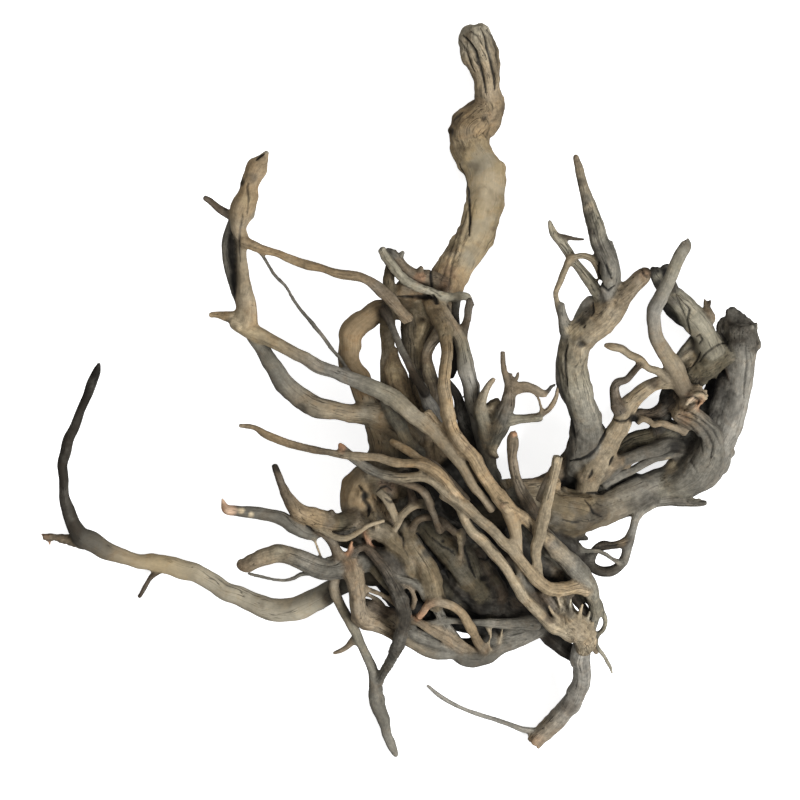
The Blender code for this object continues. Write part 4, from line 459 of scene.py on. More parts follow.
LEFT = {
    "dark_horn": [
        (275, 465, 146, 3.8), (278, 474, 146, 4.5), (282, 485, 145, 4.7), (287, 496, 143, 5.6),
        (295, 506.5, 140, 7.6), (305, 515, 136, 9.4), (317, 521, 132, 10.4), (329, 523.5, 128, 10),
        (341, 522.5, 122, 9), (356, 518, 112, 11),
    ],
    "horn_nub": [(295, 512, 138, 5), (290, 513, 139, 3)],
    "horn_nub_low": [(332, 518, 130, 6), (331, 511, 133, 3)],
    "peeling_root": [
        (222.5, 499, 138, 1.5), (224.5, 506, 138, 3.6), (227, 509.5, 138, 5), (234, 510.5, 137, 5.4),
        (246, 511.5, 136, 5.8), (258, 512.5, 135, 6), (270, 515, 133, 6.4), (282, 519.5, 131, 7.2),
        (293, 526.5, 128, 7.6), (303, 532, 124, 7.2), (311, 534, 121, 6.8), (317, 532, 119, 6.6),
        (327, 527, 118, 7),
    ],
    "arching_root": [
        (239, 562.5, 122, 4.6), (246, 564, 122, 7.4), (256, 560.5, 122, 8.6), (266, 556, 122, 9.9),
        (277, 553.8, 122, 10.2), (289, 555.4, 122, 10.2), (301, 560, 122, 9.8), (313, 565, 121, 9.9),
        (325, 568.5, 119, 10), (337, 568, 116, 10), (350, 564, 112, 11), (364, 560, 106, 12),
    ],
    "thin_under_root": [
        (248, 573, 114, 1.9), (256, 575.5, 113, 2), (265, 578, 112, 2), (275, 580, 112, 2),
        (285, 580.5, 112, 2.1), (293, 578, 112, 2.3), (301, 574, 113, 2.5), (311, 574, 114, 2.4),
        (323, 575, 114, 4),
    ],
    "thin_link": [
        (313, 537, 122, 3), (315, 542, 118, 1.7), (318, 550, 117, 1.6), (321, 558, 118, 1.8),
        (324, 567, 118, 3),
    ],
    "side_link": [
        (316, 529, 126, 5), (326, 535.5, 126, 5), (333, 544, 124, 5), (338.5, 552.5, 121, 6),
        (346, 563, 114, 7),
    ],
    "pale_thin_root": [
        (314, 527, 132, 4), (322, 530, 136, 3.4), (333, 536, 138, 3.6), (344, 538, 139, 3.4),
        (352, 535.5, 139, 3), (360, 531, 139, 2.9), (367, 526.5, 138, 2.8), (375, 523.5, 136, 2.6),
        (384, 520.5, 134, 2.3),
    ],
    "long_left_root": [
        (392, 566, 80, 15), (374, 571, 78, 15), (355, 575, 73, 13), (337, 586, 64, 11),
        (324.5, 593.5, 57, 12), (312, 600.5, 50, 12), (297, 607, 43, 12), (282, 609.5, 37, 11.6),
        (267, 607.5, 32, 11.2), (252.5, 603, 28, 10), (239.5, 597, 24, 9.4), (226, 590, 21, 9.1),
        (212, 581.5, 18, 9), (200, 575.5, 15, 9.2), (190, 571, 13, 10), (180, 568, 11, 10.3),
        (170, 565.5, 9.5, 9.5), (160, 564, 8.5, 8.8), (150, 562.7, 8, 8.2), (140, 561, 8, 7.4),
        (130, 558.5, 8, 7.2), (120, 555.5, 9, 7.8), (110, 552, 10, 8.6), (100, 547.5, 12, 9.2),
        (90, 541.5, 15, 9.8), (80, 535.5, 19, 8.6), (73.5, 525, 24, 7.2), (69, 512, 30, 7),
        (65.5, 500, 36, 6.2), (64, 488, 42, 5.7), (63.5, 475, 48, 5.3), (63.2, 461, 54, 5.6),
        (66.5, 447, 60, 5.3), (71.5, 434, 66, 5.1), (76.5, 421.5, 71, 4.7), (82, 409, 76, 4.5),
        (87.5, 396, 81, 4.8), (92.5, 384, 86, 5.2), (96.5, 372, 90, 4.5), (99, 364.5, 93, 2.3),
    ],
    "splintered_fork": [
        (100, 547, 14, 7.5), (92, 545, 14, 6.5), (80, 543.5, 13, 6), (70, 541, 12.5, 5.3),
        (61, 538.5, 12, 4.4), (54, 537, 12, 3.6), (48, 537, 12, 4), (44, 536.5, 12, 3),
    ],
    "fork_splinter": [(48, 538, 12, 2), (50.5, 545.5, 12, 1.2)],
    "fork_splinter_up": [(44.5, 537, 12, 1.8), (41.5, 533.5, 12, 0.9)],
    "left_twig": [
        (160, 568, 9, 5), (152, 576, 8, 3.4), (147, 583, 7, 2.8), (142.5, 590.5, 6, 2.6),
        (138.5, 597, 5, 2.6),
    ],
    "outer_leg": [
        (337, 570, 108, 6), (334.5, 580, 103, 5.4), (334.5, 590, 97, 5.2), (339, 601, 90, 5),
        (345, 612.5, 82, 5), (351, 624, 73, 5.4), (357, 635, 64, 5.2), (362.5, 647, 55, 4.8),
        (367.5, 659, 46, 5), (372, 671, 39, 5.4), (374, 683, 32, 6), (375, 695, 26, 7), (378, 707, 20, 8.2),
        (382.5, 718, 15, 7), (385.5, 728, 11, 5.6), (388.5, 738, 8, 5), (392.5, 747, 5.6, 4.6),
        (396, 754.5, 4, 3),
    ],
    "dark_leg": [
        (350, 561, 114, 7), (353.5, 554, 121, 4.6), (358, 549, 126, 4), (364, 547, 128, 4),
        (370, 550, 128, 5), (377, 558, 126, 5.6), (384, 568, 123, 5.8), (391, 580, 120, 6.2),
        (398, 592, 118, 7.2), (403, 604, 116, 8), (404.5, 616, 114, 8.4), (402.5, 628, 108, 7.8),
        (398.5, 640, 97, 7), (396, 651, 80, 5.8), (390.5, 662, 62, 5.4), (384.5, 671.5, 46, 5),
        (379.5, 681, 34, 4.8), (378, 690, 27, 5), (380, 702, 21, 6),
    ],
    "brown_stump": [
        (349, 560, 118, 9.4), (353, 571, 118, 10), (356, 582, 114, 9), (357, 594, 109, 8.8),
        (358.5, 606, 103, 9), (361.5, 617, 97, 10.4), (369, 622, 92, 9.6), (379, 625.5, 88, 8.4),
        (390, 630.5, 84, 7.4), (402, 637, 78, 7),
    ],
    "dark_leg_twig": [
        (357, 634, 62, 4.6), (353, 641, 60, 3.8), (347.5, 647, 58, 3.2), (340, 651, 58, 2.6),
        (333, 653, 58, 1.8),
    ],
    "bottom_root": [
        (400, 634, 76, 7), (413, 643.5, 72, 6.4), (426, 649, 70, 6.6), (440, 652.5, 70, 6.4),
        (452, 653, 68, 6.6), (463, 656.5, 66, 9.6), (475, 658, 66, 10), (487, 654.5, 66, 8.4),
        (500, 649.5, 62, 5.4), (514, 644.5, 60, 5), (528, 638.5, 58, 5.4), (541, 632, 58, 6),
    ],
    "inner_bottom_root": [
        (478, 652, 64, 7), (488, 640, 60, 8), (505, 636, 58, 8.4), (522, 631, 58, 9), (540, 624, 60, 10),
        (560, 618, 70, 12),
    ],
    "dark_wedge": [
        (530, 622, 56, 10), (543, 628, 52, 9), (553, 638, 50, 10), (564, 648, 48, 9.5), (576, 656, 48, 8),
    ],
    "brown_arch": [
        (418, 617.5, 104, 3.4), (423, 611.5, 106, 4), (428, 605.5, 108, 4.4), (436, 602, 109, 4.6),
        (446, 603.5, 108, 4.8), (455, 608, 106, 5), (463, 615, 102, 5), (468.5, 624, 98, 5),
        (473, 634, 92, 4.8), (478, 643, 84, 4.8), (484, 651, 74, 6),
    ],
    "fan_strand_a": [
        (410, 620, 86, 5), (420, 623, 84, 3.4), (434, 622.5, 85, 3.6), (447, 621, 86, 3.6),
        (460, 621.5, 86, 3.6), (474, 622.5, 84, 3.8), (488, 623, 82, 4.2), (503, 624, 80, 5),
        (520, 624, 78, 6), (538, 622, 76, 8),
    ],
    "fan_strand_b": [
        (430, 598, 92, 7), (436, 607, 88, 5.6), (442, 617, 84, 5), (450, 629, 80, 4.4), (459, 641, 74, 4),
        (468, 651, 68, 5),
    ],
    "fan_strand_c": [
        (408, 618, 88, 5), (418, 622.5, 90, 3.6), (430, 630, 88, 3.8), (443, 638, 84, 4.2),
        (456, 645.5, 78, 4.6), (470, 652, 70, 6),
    ],
    "fan_strand_d": [
        (405, 627, 82, 5), (420, 637.5, 80, 4.2), (434, 643, 78, 4.2), (450, 647, 74, 4.6),
        (464, 652, 68, 6),
    ],
    "fan_thread": [(503, 624, 78, 1.6), (501, 636, 68, 1.6), (498, 648, 62, 2)],
    "leg_strand_a": [
        (358, 585, 108, 5), (368, 589, 106, 3), (379, 593.5, 105, 2.8), (390, 600, 105, 2.8),
        (402, 608, 100, 5),
    ],
    "leg_strand_b": [
        (360, 592, 104, 4), (370, 596, 98, 2.6), (379, 601, 94, 2.6), (385, 609, 91, 2.6),
        (391, 616, 90, 2.6), (402, 620, 86, 5),
    ],
    "leg_web": [(364, 604, 88, 6), (374, 607, 90, 6.6), (387, 614, 86, 6.6), (402, 624, 82, 7)],
    "fan_back": [
        (404, 628, 64, 7), (422, 634, 62, 7), (440, 641, 62, 7), (456, 644, 60, 7), (472, 645, 60, 8),
    ],
    "left_fill": [(332, 535, 116, 4), (342, 541, 112, 6), (354, 544, 108, 7), (366, 546, 104, 7)],
    "fan_strand_e": [
        (418, 621, 86, 4), (430, 625, 86, 2.4), (443, 630, 84, 2.2), (456, 638, 81, 2.3),
        (466, 645, 77, 2.6), (474, 651, 70, 5),
    ],
    "fan_strand_f": [
        (410, 628, 80, 4), (424, 632.5, 78, 2.4), (437, 636, 76, 2.2), (450, 640, 73, 2.4),
        (462, 647, 68, 5),
    ],
    "fan_strand_g": [(489, 652, 70, 4), (488, 644, 76, 1.8), (490, 636, 80, 1.6), (488, 628, 82, 3)],
}

HEART = {
    "tan_slope": [
        (350, 524, 106, 10), (364, 527, 113, 11), (378, 531, 116, 11), (390, 538, 117, 9.6),
        (399.5, 548, 117, 8), (407, 560, 115, 7), (412, 573, 109, 6), (417, 588, 98, 6),
    ],
    "pale_grey_slope": [
        (404, 525, 103, 8), (410, 539, 110, 9.6), (417, 552, 112, 10.6), (425, 565, 111, 11),
        (431.5, 579, 108, 12), (433.5, 592, 101, 11.4), (435, 604, 88, 9.6),
    ],
    "slate_slope": [
        (366, 552, 104, 8), (375, 555, 112, 9), (385, 559, 114, 10), (394, 566, 112, 10),
        (401, 575, 107, 9), (408, 586, 96, 8),
    ],
    "grey_green_slope": [
        (414, 512, 96, 9), (422, 523, 98, 9), (433, 535, 100, 10.5), (445, 548, 101, 11.6),
        (456.5, 562, 100, 12), (467, 577, 95, 11), (476.5, 590, 87, 9.4), (485, 601, 78, 8),
        (492, 612, 66, 8),
    ],
    "mottled_slope": [
        (446, 516, 96, 9), (456, 530, 97, 8.4), (467, 544, 96, 9.4), (478, 557, 93, 9), (488, 571, 88, 8),
        (497, 586, 80, 8), (506, 602, 68, 9),
    ],
    "brown_bow": [
        (412, 528, 112, 5), (417, 521, 119, 4), (423, 517.5, 123, 4), (431, 517, 125, 4),
        (440, 520, 125, 4), (449, 526.5, 123, 4), (456, 533, 116, 4), (462, 541, 104, 6),
    ],
    "pale_bow": [
        (376, 490, 116, 6), (380, 493.5, 126, 4.4), (386, 499.5, 130, 4.6), (390.5, 507, 130, 4.4),
        (394, 515, 128, 3.6), (395.5, 520, 124, 3),
    ],
    "tan_bow": [
        (394.5, 531, 116, 2.6), (397.5, 524, 122, 3.6), (401.5, 516, 128, 4), (408, 509.5, 131, 4.4),
        (415, 505.5, 131, 4.6), (422, 503.5, 126, 5), (430, 504, 116, 6),
    ],
    "brown_lump": [(372, 474, 108, 12), (384, 474, 112, 12), (396, 480, 112, 10), (404, 492, 106, 9)],
    "orange_splinter": [(350, 556, 118, 5), (350, 549, 124, 3), (352, 541, 128, 1.6)],
    "tan_splinter": [
        (370, 547, 110, 5), (368, 542, 115, 3.4), (365.5, 536, 120, 2.2), (363, 530, 123, 1.4),
    ],
    "inner_strand": [(360, 550, 110, 6), (372, 566, 110, 5), (384, 580, 108, 5.4), (396, 592, 102, 6)],
    "cross_strand": [
        (388, 577, 112, 5), (395, 577.5, 118, 3), (405, 579.5, 119, 3.2), (414, 583, 116, 3.6),
        (421, 590, 110, 4), (425, 599, 100, 4),
    ],
    "inner_core": [
        (425, 400, 88, 16), (428, 440, 86, 24), (430, 480, 84, 28), (438, 520, 76, 30), (456, 556, 68, 32),
        (484, 586, 60, 29), (516, 606, 54, 23), (548, 614, 54, 16),
    ],
    "left_core": [
        (366, 500, 78, 22), (386, 520, 76, 26), (408, 538, 72, 28), (436, 570, 62, 28), (462, 600, 56, 23),
    ],
    "right_core": [(540, 512, 72, 20), (510, 524, 76, 24), (480, 532, 76, 28), (452, 538, 74, 28)],
    "low_core": [
        (376, 560, 76, 16), (400, 590, 70, 18), (424, 608, 62, 17), (452, 616, 56, 15), (486, 622, 54, 14),
        (520, 618, 54, 14),
    ],
    "block_strand": [
        (452, 536, 100, 6), (463, 547, 104, 6.4), (471, 560, 102, 7.6), (476, 573, 96, 7),
        (480, 588, 86, 7),
    ],
    "deep_strand": [
        (430, 506, 100, 7), (440, 516, 104, 6), (452, 524, 104, 5), (464, 530, 100, 5), (476, 540, 92, 6),
    ],
    "thin_post": [
        (463.5, 530, 116, 4), (463, 540, 120, 3), (462, 552, 116, 2.6), (461, 562, 108, 3),
        (461, 570, 96, 4),
    ],
    "crown_lump": [
        (384, 480, 108, 11), (391, 486, 112, 10.4), (392.5, 494, 114, 9.4), (389, 502, 112, 7.4),
        (388, 512, 106, 6), (392, 524, 104, 6),
    ],
    "dark_stay": [(404, 474, 146, 6), (408, 484, 140, 3.6), (411, 493, 136, 3.6), (413, 502, 131, 5)],
    "cross_strand_b": [
        (399, 586, 114, 4), (407, 586, 116, 2.6), (412, 591, 112, 2.6), (414, 599, 106, 3),
        (412, 608, 100, 4),
    ],
    "bow_rest": [(372, 516, 118, 5), (375, 523, 134, 2.6), (377, 530, 118, 5)],
}

LOWER_RIGHT = {
    "curling_root": [
        (640, 494, 40, 10), (656, 500.5, 42, 6), (650, 504.5, 45, 5.6), (641, 510, 48, 5.8),
        (635.5, 518, 52, 4.8), (633, 528, 55, 4.4), (630, 538, 57, 5), (627.5, 548, 58, 4.8),
        (625, 557, 58, 4.8), (620, 565, 57, 5), (612, 571, 55, 5.4), (602, 572, 54, 5.4), (593, 567, 54, 5),
        (585, 560, 54, 5.4), (574, 549, 56, 7),
    ],
    "curling_tip": [
        (644, 500, 42, 7), (660, 501.5, 43, 5.4), (672, 500.5, 43, 5.2), (684, 501.5, 43, 5),
        (696, 503.5, 43, 4), (706, 503, 44, 3),
    ],
    "tip_splinter": [(688, 500, 44, 2.4), (700, 499.2, 45, 1)],
    "small_hook": [
        (630, 540, 58, 5), (620, 544, 60, 4.6), (611, 545.5, 60, 4.4), (603, 544.8, 59, 5.4),
        (596, 548.5, 58, 4.8), (592.5, 555, 56, 4.4), (590, 564, 54, 5),
    ],
    "thin_hook": [
        (572, 546, 62, 5), (585, 551, 66, 2.8), (596, 551, 68, 2.6), (606, 555, 68, 2.6),
        (614, 560, 65, 2.6), (622, 563, 59, 4),
    ],
    "dark_mass": [
        (536, 522, 72, 12), (548, 532, 68, 10), (560, 541, 64, 10), (572, 549, 60, 9.5), (584, 558, 56, 7),
    ],
    "dark_nub": [(566, 534, 58, 8), (576, 535.5, 56, 5), (588, 539, 54, 2.4)],
    "wavy_rootlet": [
        (594, 600, 120, 4), (600, 602, 113, 2.8), (602.5, 611, 105, 2.9), (605, 621, 98, 3),
        (603, 629, 92, 2.8), (597.5, 635, 86, 2.8), (596, 643, 79, 2.6), (598.5, 650, 73, 2.4),
        (604, 656, 67, 2.2), (608, 663, 61, 2.2), (611, 669, 56, 2), (612, 674, 52, 1.2),
    ],
    "rootlet_stub": [(582, 636, 92, 7), (592, 647, 86, 3.6), (597, 653, 83, 3)],
    "floor_rootlet": [
        (540, 735, 9, 6), (533, 731, 8.4, 4), (521, 728.5, 7, 3.2), (508, 724, 5.6, 2.9),
        (494, 719, 4.6, 2.6), (480, 714.5, 4.2, 2.5), (466, 709.5, 4.2, 2.4), (453, 703.5, 4.4, 2.4),
        (441, 696.5, 5, 2.3), (433, 690, 7, 2.1), (427.5, 685, 9, 1.8),
    ],
}

# Small parts of the cut end, the tangle and the knob that only this file draws
DETAILS = {
    "cut_fill": [(742, 350, 62, 15), (742, 336, 71, 15), (741, 327, 74, 13)],
    "cut_ridge": [(750, 345, 68, 8), (746, 330, 71, 8), (738, 317, 72, 6.5), (731, 309, 73, 3.5)],
    "cut_edge": [(757, 347, 62, 5), (756, 337, 66, 4), (754, 329, 68, 3.5)],
    "cut_side": [(733, 342, 64, 8), (728, 327, 68, 6), (725, 317, 70, 4)],
    "sliver_floor": [(494, 542, 90, 6), (502, 551, 90, 6), (512, 562, 90, 6)],
    "sliver_side": [(324, 525, 108, 4), (337, 531, 110, 6), (352, 536, 108, 5)],
    "lump_fill": [(413, 311, 104, 9), (421, 318, 105, 8), (426, 325, 104, 7)],
    "burl": [(382, 484, 114, 9), (392, 487, 115, 9), (397, 492, 112, 6)],
    "curl_thread": [(377, 501, 117, 1.4), (375, 493, 121, 1.5), (380, 488, 124, 1.6), (386, 491, 124, 1.5)],
    "curl_thread_low": [(386, 491, 124, 1.5), (393, 498, 121, 1.5), (399, 503, 114, 1.4)],
    "hanging_splinter": [(459, 534, 121, 2.4), (460, 546, 118, 2.2), (461, 558, 110, 1.6)],
    "knob_curl": [(686, 405, 97, 2.4), (692, 397, 100, 2.6), (700, 394, 100, 2.6), (706, 399, 96, 2.4)],
    "knob_curl_low": [(684, 412, 92, 2.2), (691, 411, 96, 2.2), (697, 406, 98, 2.0), (702, 403, 98, 1.8)],
}

ROUTES = {**TRUNKS, **UPPER_LEFT, **CENTRE, **LEFT, **HEART, **LOWER_RIGHT, **DETAILS}

# The pieces, and the limbs that each one shows; a limb is in the first piece that names it
REGIONS = {
    "trunk_wood": ("top_trunk", "right_trunk", "fork_stem"),
    "trunk_limb_wood": TRUNKS,
    "upper_left_wood": UPPER_LEFT,
    "centre_wood": CENTRE,
    "left_wood": LEFT,
    "heart_wood": {**HEART, **LOWER_RIGHT, **DETAILS},
}

# How the limbs end, first end and last end
END_STYLES = {
    "top_trunk": ("round", "round"),
    "right_trunk": ("round", "torn"),
    "hook_knob": ("round", "torn"),
    "spike": ("round", "pointed"),
    "spear": ("round", "torn"),
    "cross_root": ("round", "torn"),
    "fork_stem": ("round", "torn"),
    "broken_stick": ("torn", "round"),
    "upright_stick": ("torn", "round"),
    "cut_arm": ("round", "torn"),
    "peeling_root": ("pointed", "round"),
    "splintered_fork": ("round", "torn"),
    "long_brown_root": ("round", "torn"),
    "long_left_root": ("round", "pointed"),
    "outer_leg": ("round", "pointed"),
    "pale_limb": ("round", "torn"),
    "curvy_limb": ("round", "torn"),
    "cut_ridge": ("round", "torn"),
    "cut_side": ("round", "torn"),
}

# Limbs with coarse, worn wood
ROUGH_LIMBS = {
    "hook_knob", "stump_limb", "cut_flake", "cut_corner", "lower_right_knot", "spear_knot", "left_knob",
    "cut_knob", "cut_fill", "cut_ridge", "cut_edge", "cut_side", "hollow_back", "hollow_slab",
    "splintered_fork", "knot_strand_a", "knot_strand_b", "dark_leg", "grey_strand",
}

# Screen colours of the wood, 0 to 255
TONES = {
    "bone": (216, 199, 168),
    "straw": (192, 173, 138),
    "honey": (160, 139, 108),
    "pale": (180, 171, 151),
    "tan": (156, 142, 118),
    "warm": (140, 125, 103),
    "brown": (115, 102, 84),
    "umber": (82, 71, 58),
    "grey": (141, 135, 118),
    "ash": (150, 146, 137),
    "stone": (118, 114, 104),
    "olive": (122, 109, 86),
    "moss": (93, 86, 69),
    "slate": (101, 97, 88),
    "charcoal": (70, 65, 57),
    "dusk": (50, 45, 38),
    "black": (26, 23, 19),
    "orange": (188, 141, 106),
    "pink": (208, 178, 152),
    "rust": (131, 107, 85),
}

# Smooth, worn limbs, and how smooth
SMOOTH_LIMBS = {
    "long_left_root": 0.85, "loop_root": 0.5, "peeling_root": 0.4, "lower_knee_root": 0.4,
    "right_trunk": 0.35, "spear": 0.3, "down_branch": 0.5, "outer_leg": 0.3, "pale_limb": 0.3,
    "scarred_limb": 0.4, "bottom_root": 0.4, "smooth_grey_root": 0.5, "curvy_limb": 0.3,
    "knee_root": 0.3, "pale_bow": 0.3,
}

# Smooth, worn places: (across, down, from height, to height, reach, how smooth)
SMOOTH_PLACES = (
    (484, 168, 0, 90, 26, 0.85),
    (490, 195, 0, 90, 24, 0.9),
    (484, 225, 0, 90, 22, 0.85),
    (472, 255, 0, 90, 18, 0.7),
    (462, 278, 0, 90, 12, 0.5),
)

# Limbs whose tone changes along them: (share of the way, tone)
TONE_RUNS = {
    "top_trunk": (
        (0.0, "pale"), (0.05, "tan"), (0.22, "honey"), (0.3, "straw"), (0.5, "straw"), (0.58, "honey"),
        (1.0, "honey"),
    ),
    "long_left_root": (
        (0.0, "warm"), (0.08, "grey"), (0.2, "pale"), (0.38, "pale"), (0.48, "straw"), (0.56, "tan"),
        (0.635, "charcoal"),
        (0.7, "dusk"), (0.86, "dusk"), (1.0, "black"),
    ),
    "peeling_root": ((0.0, "pink"), (0.12, "orange"), (0.17, "slate"), (0.4, "stone"), (1.0, "slate")),
    "arching_root": ((0.0, "warm"), (0.3, "tan"), (0.5, "stone"), (1.0, "slate")),
    "upper_runner": (
        (0.0, "warm"), (0.15, "honey"), (0.35, "brown"), (0.5, "tan"), (0.7, "honey"), (1.0, "honey"),
    ),
    "lower_runner": (
        (0.0, "orange"), (0.03, "slate"), (0.15, "stone"), (0.25, "tan"), (0.6, "tan"), (1.0, "honey"),
    ),
    "loop_root": (
        (0.0, "moss"), (0.15, "honey"), (0.45, "honey"), (0.7, "olive"), (0.85, "honey"), (1.0, "moss"),
    ),
    "knee_root": ((0.0, "straw"), (0.2, "tan"), (0.35, "ash"), (0.5, "grey"), (0.7, "tan"), (1.0, "warm")),
    "lower_knee_root": ((0.0, "grey"), (0.3, "stone"), (0.6, "tan"), (0.8, "honey"), (1.0, "olive")),
    "long_brown_root": (
        (0.0, "honey"), (0.08, "olive"), (0.2, "honey"), (0.4, "honey"), (0.5, "tan"), (0.56, "stone"),
        (0.66, "grey"), (0.76, "ash"), (0.9, "ash"), (1.0, "warm"),
    ),
    "outer_leg": ((0.0, "warm"), (0.35, "grey"), (0.6, "stone"), (1.0, "stone")),
    "dark_leg": (
        (0.0, "slate"), (0.1, "umber"), (0.3, "charcoal"), (0.55, "charcoal"), (0.7, "slate"),
        (1.0, "stone"),
    ),
    "spear": ((0.0, "honey"), (0.2, "tan"), (0.45, "tan"), (0.7, "honey"), (0.85, "honey"), (1.0, "warm")),
    "cross_root": ((0.0, "honey"), (0.5, "honey"), (0.75, "brown"), (1.0, "warm")),
    "curvy_limb": ((0.0, "umber"), (0.3, "tan"), (0.6, "ash"), (0.85, "grey"), (1.0, "stone")),
    "curling_root": (
        (0.0, "grey"), (0.4, "ash"), (0.6, "slate"), (0.7, "charcoal"), (0.95, "charcoal"), (1.0, "dusk"),
    ),
    "fork_stem": ((0.0, "stone"), (0.3, "stone"), (0.5, "grey"), (0.75, "tan"), (1.0, "brown")),
    "right_trunk": (
        (0.0, "moss"), (0.15, "olive"), (0.3, "olive"), (0.45, "stone"), (0.6, "stone"), (0.8, "ash"),
        (1.0, "stone"),
    ),
    "bottom_root": ((0.0, "tan"), (0.3, "stone"), (0.6, "slate"), (1.0, "stone")),
    "down_branch": ((0.0, "honey"), (0.5, "tan"), (0.8, "stone"), (1.0, "slate")),
    "slanting_strand": ((0.0, "umber"), (0.4, "slate"), (0.7, "umber"), (1.0, "dusk")),
    "smooth_grey_root": (
        (0.0, "tan"), (0.18, "warm"), (0.28, "grey"), (0.42, "ash"), (0.5, "stone"), (0.6, "slate"),
        (0.75, "charcoal"), (0.9, "stone"), (1.0, "umber"),
    ),
    "left_horn": ((0.0, "warm"), (0.4, "grey"), (0.7, "honey"), (1.0, "umber")),
    "right_horn": ((0.0, "brown"), (0.25, "slate"), (0.5, "grey"), (0.8, "warm"), (1.0, "umber")),
    "brown_arch": ((0.0, "orange"), (0.25, "warm"), (0.6, "honey"), (1.0, "brown")),
    "twisted_hook": ((0.0, "grey"), (0.3, "stone"), (0.55, "stone"), (0.75, "slate"), (1.0, "warm")),
    "spike": ((0.0, "stone"), (0.35, "slate"), (0.6, "grey"), (1.0, "warm")),
    "dark_horn": ((0.0, "umber"), (0.3, "brown"), (0.55, "honey"), (0.8, "moss"), (1.0, "brown")),
}

# Tone of each limb with one tone; the near-black tones of the cores (inner_core, right_core, low_core), of
# hollow_wall, of dark_wedge under the mass and of spear_web behind the spear are painted shade.
TONE_OF = {
    "hook_knob": "warm", "stump_limb": "moss", "hollow_back": "dusk", "pale_limb": "grey",
    "pale_limb_stub": "charcoal", "brown_curl": "dusk", "fork_twig": "brown", "wavy_twig": "tan",
    "dropping_twig": "umber", "ringed_limb": "tan", "dark_bridge": "umber", "dark_column": "dusk",
    "pale_arc": "warm", "upper_strap": "slate", "lower_strap": "slate", "dark_strap": "moss",
    "scarred_limb": "ash", "stem_strand": "ash", "fork_left": "stone", "curl": "tan",
    "straight_twig": "grey", "side_twig": "umber", "spike_strand": "stone", "spear_back": "stone",
    "spear_web": "black", "spear_twig": "umber", "spear_stub": "honey", "spear_knot": "umber",
    "thin_rootlet": "slate", "grey_strand": "grey", "brown_ridge": "brown", "tan_lump": "honey",
    "dark_post": "olive", "dark_brown_post": "olive", "tan_wedge": "honey",
    "pale_wedge": "straw", "pale_post": "warm", "pale_grey_strand": "grey", "grey_blue_strand": "ash",
    "brown_strip": "honey", "reddish_stub": "umber", "dark_sliver": "dusk", "runner_strand": "brown",
    "middle_root": "tan", "between_strand": "umber", "short_strand": "honey", "cut_knob": "tan",
    "horn_tip": "brown", "horn_arm": "warm", "burnt_tip": "black", "thin_bow": "warm", "cut_arm": "grey",
    "thin_bow_low": "warm", "horn_root": "grey", "broken_stick": "brown", "pale_stick": "honey",
    "upright_stick": "tan", "lower_right_knot": "tan", "knot_strand_a": "umber", "knot_strand_b": "umber",
    "grey_panel": "grey", "thin_under_root": "stone", "thin_link": "tan", "side_link": "brown",
    "pale_thin_root": "tan", "splintered_fork": "brown", "left_twig": "umber", "brown_stump": "warm",
    "dark_leg_twig": "brown", "inner_bottom_root": "slate", "dark_wedge": "dusk", "fan_strand_a": "stone",
    "fan_strand_b": "stone", "fan_strand_c": "warm", "fan_strand_d": "stone", "leg_strand_a": "warm",
    "leg_strand_b": "brown", "tan_slope": "olive", "pale_grey_slope": "olive", "slate_slope": "charcoal",
    "grey_green_slope": "moss", "mottled_slope": "umber", "brown_bow": "brown", "pale_bow": "tan",
    "tan_bow": "tan", "brown_lump": "olive", "orange_splinter": "orange", "tan_splinter": "orange",
    "dark_stay": "umber", "inner_strand": "moss", "cross_strand": "stone", "inner_core": "dusk",
    "left_core": "moss", "right_core": "black", "low_core": "black", "curling_tip": "slate",
    "small_hook": "charcoal", "thin_hook": "stone", "dark_mass": "dusk", "dark_nub": "dusk",
    "wavy_rootlet": "grey", "rootlet_stub": "brown", "floor_rootlet": "ash", "hollow_wall": "black",
    "hollow_rod": "umber", "hollow_slab": "charcoal", "cut_flake": "charcoal", "cut_corner": "dusk",
    "base_lump": "warm", "low_lip": "dusk", "trunk_rib": "charcoal", "spear_shoulder": "grey",
    "left_knob": "charcoal", "fork_prong": "umber", "spike_nub": "warm", "ridge_nub": "slate",
    "ridge_nub_low": "brown", "horn_nub": "brown", "horn_nub_low": "umber", "fork_splinter": "orange",
    "fork_splinter_up": "orange", "tip_splinter": "grey", "fan_thread": "tan", "horn_prong": "umber",
    "horn_fork": "brown", "horn_knob": "umber", "stub_nub": "umber", "stem_foot": "warm",
    "curl_back": "black", "back_sliver": "dusk", "back_strand": "dusk", "hollow_floor": "dusk",
    "trunk_back": "honey", "stick_side": "brown", "dark_fill": "dusk", "leg_web": "umber",
    "fan_back": "dusk", "block_strand": "moss", "deep_strand": "charcoal", "thin_post": "warm",
    "left_fill": "umber", "column_web": "dusk", "panel_web": "umber", "crown_lump": "honey",
    "fan_strand_e": "warm", "fan_strand_f": "stone", "fan_strand_g": "tan", "knot_spike_a": "tan",
    "knot_spike_b": "pale", "knot_spike_c": "tan", "under_runner": "brown", "runner_core": "moss",
    "stump_back": "grey", "cross_strand_b": "brown", "bow_rest": "tan", "knot_spike_d": "pale",
    "knot_spike_e": "tan", "knot_spike_f": "tan", "cut_fill": "dusk", "cut_ridge": "charcoal",
    "cut_edge": "slate", "cut_side": "dusk", "sliver_floor": "dusk", "sliver_side": "umber", "burl": "rust",
    "curl_thread": "honey", "curl_thread_low": "brown", "hanging_splinter": "straw", "knob_curl": "tan",
    "knob_curl_low": "warm", "lump_fill": "honey",
}

# Rounds of smoothing over neighbouring vertices
VOXEL_ROUNDS = 3
JOIN_ROUNDS = 14
TONE_ROUNDS = 5
HALF_ROUNDS = 4
FINISH_ROUNDS = 6
SKY_ROUNDS = 2

# The sky seen from the wood: its grid of heights, how far each look reaches and how many ways it goes
SKY_CELL = 0.0016
SKY_REACHES = (0.0022, 0.004, 0.007, 0.011, 0.017, 0.026, 0.04)
SKY_WAYS = 12
SKY_LIFT = 0.0012
SKY_MARGIN = 0.05
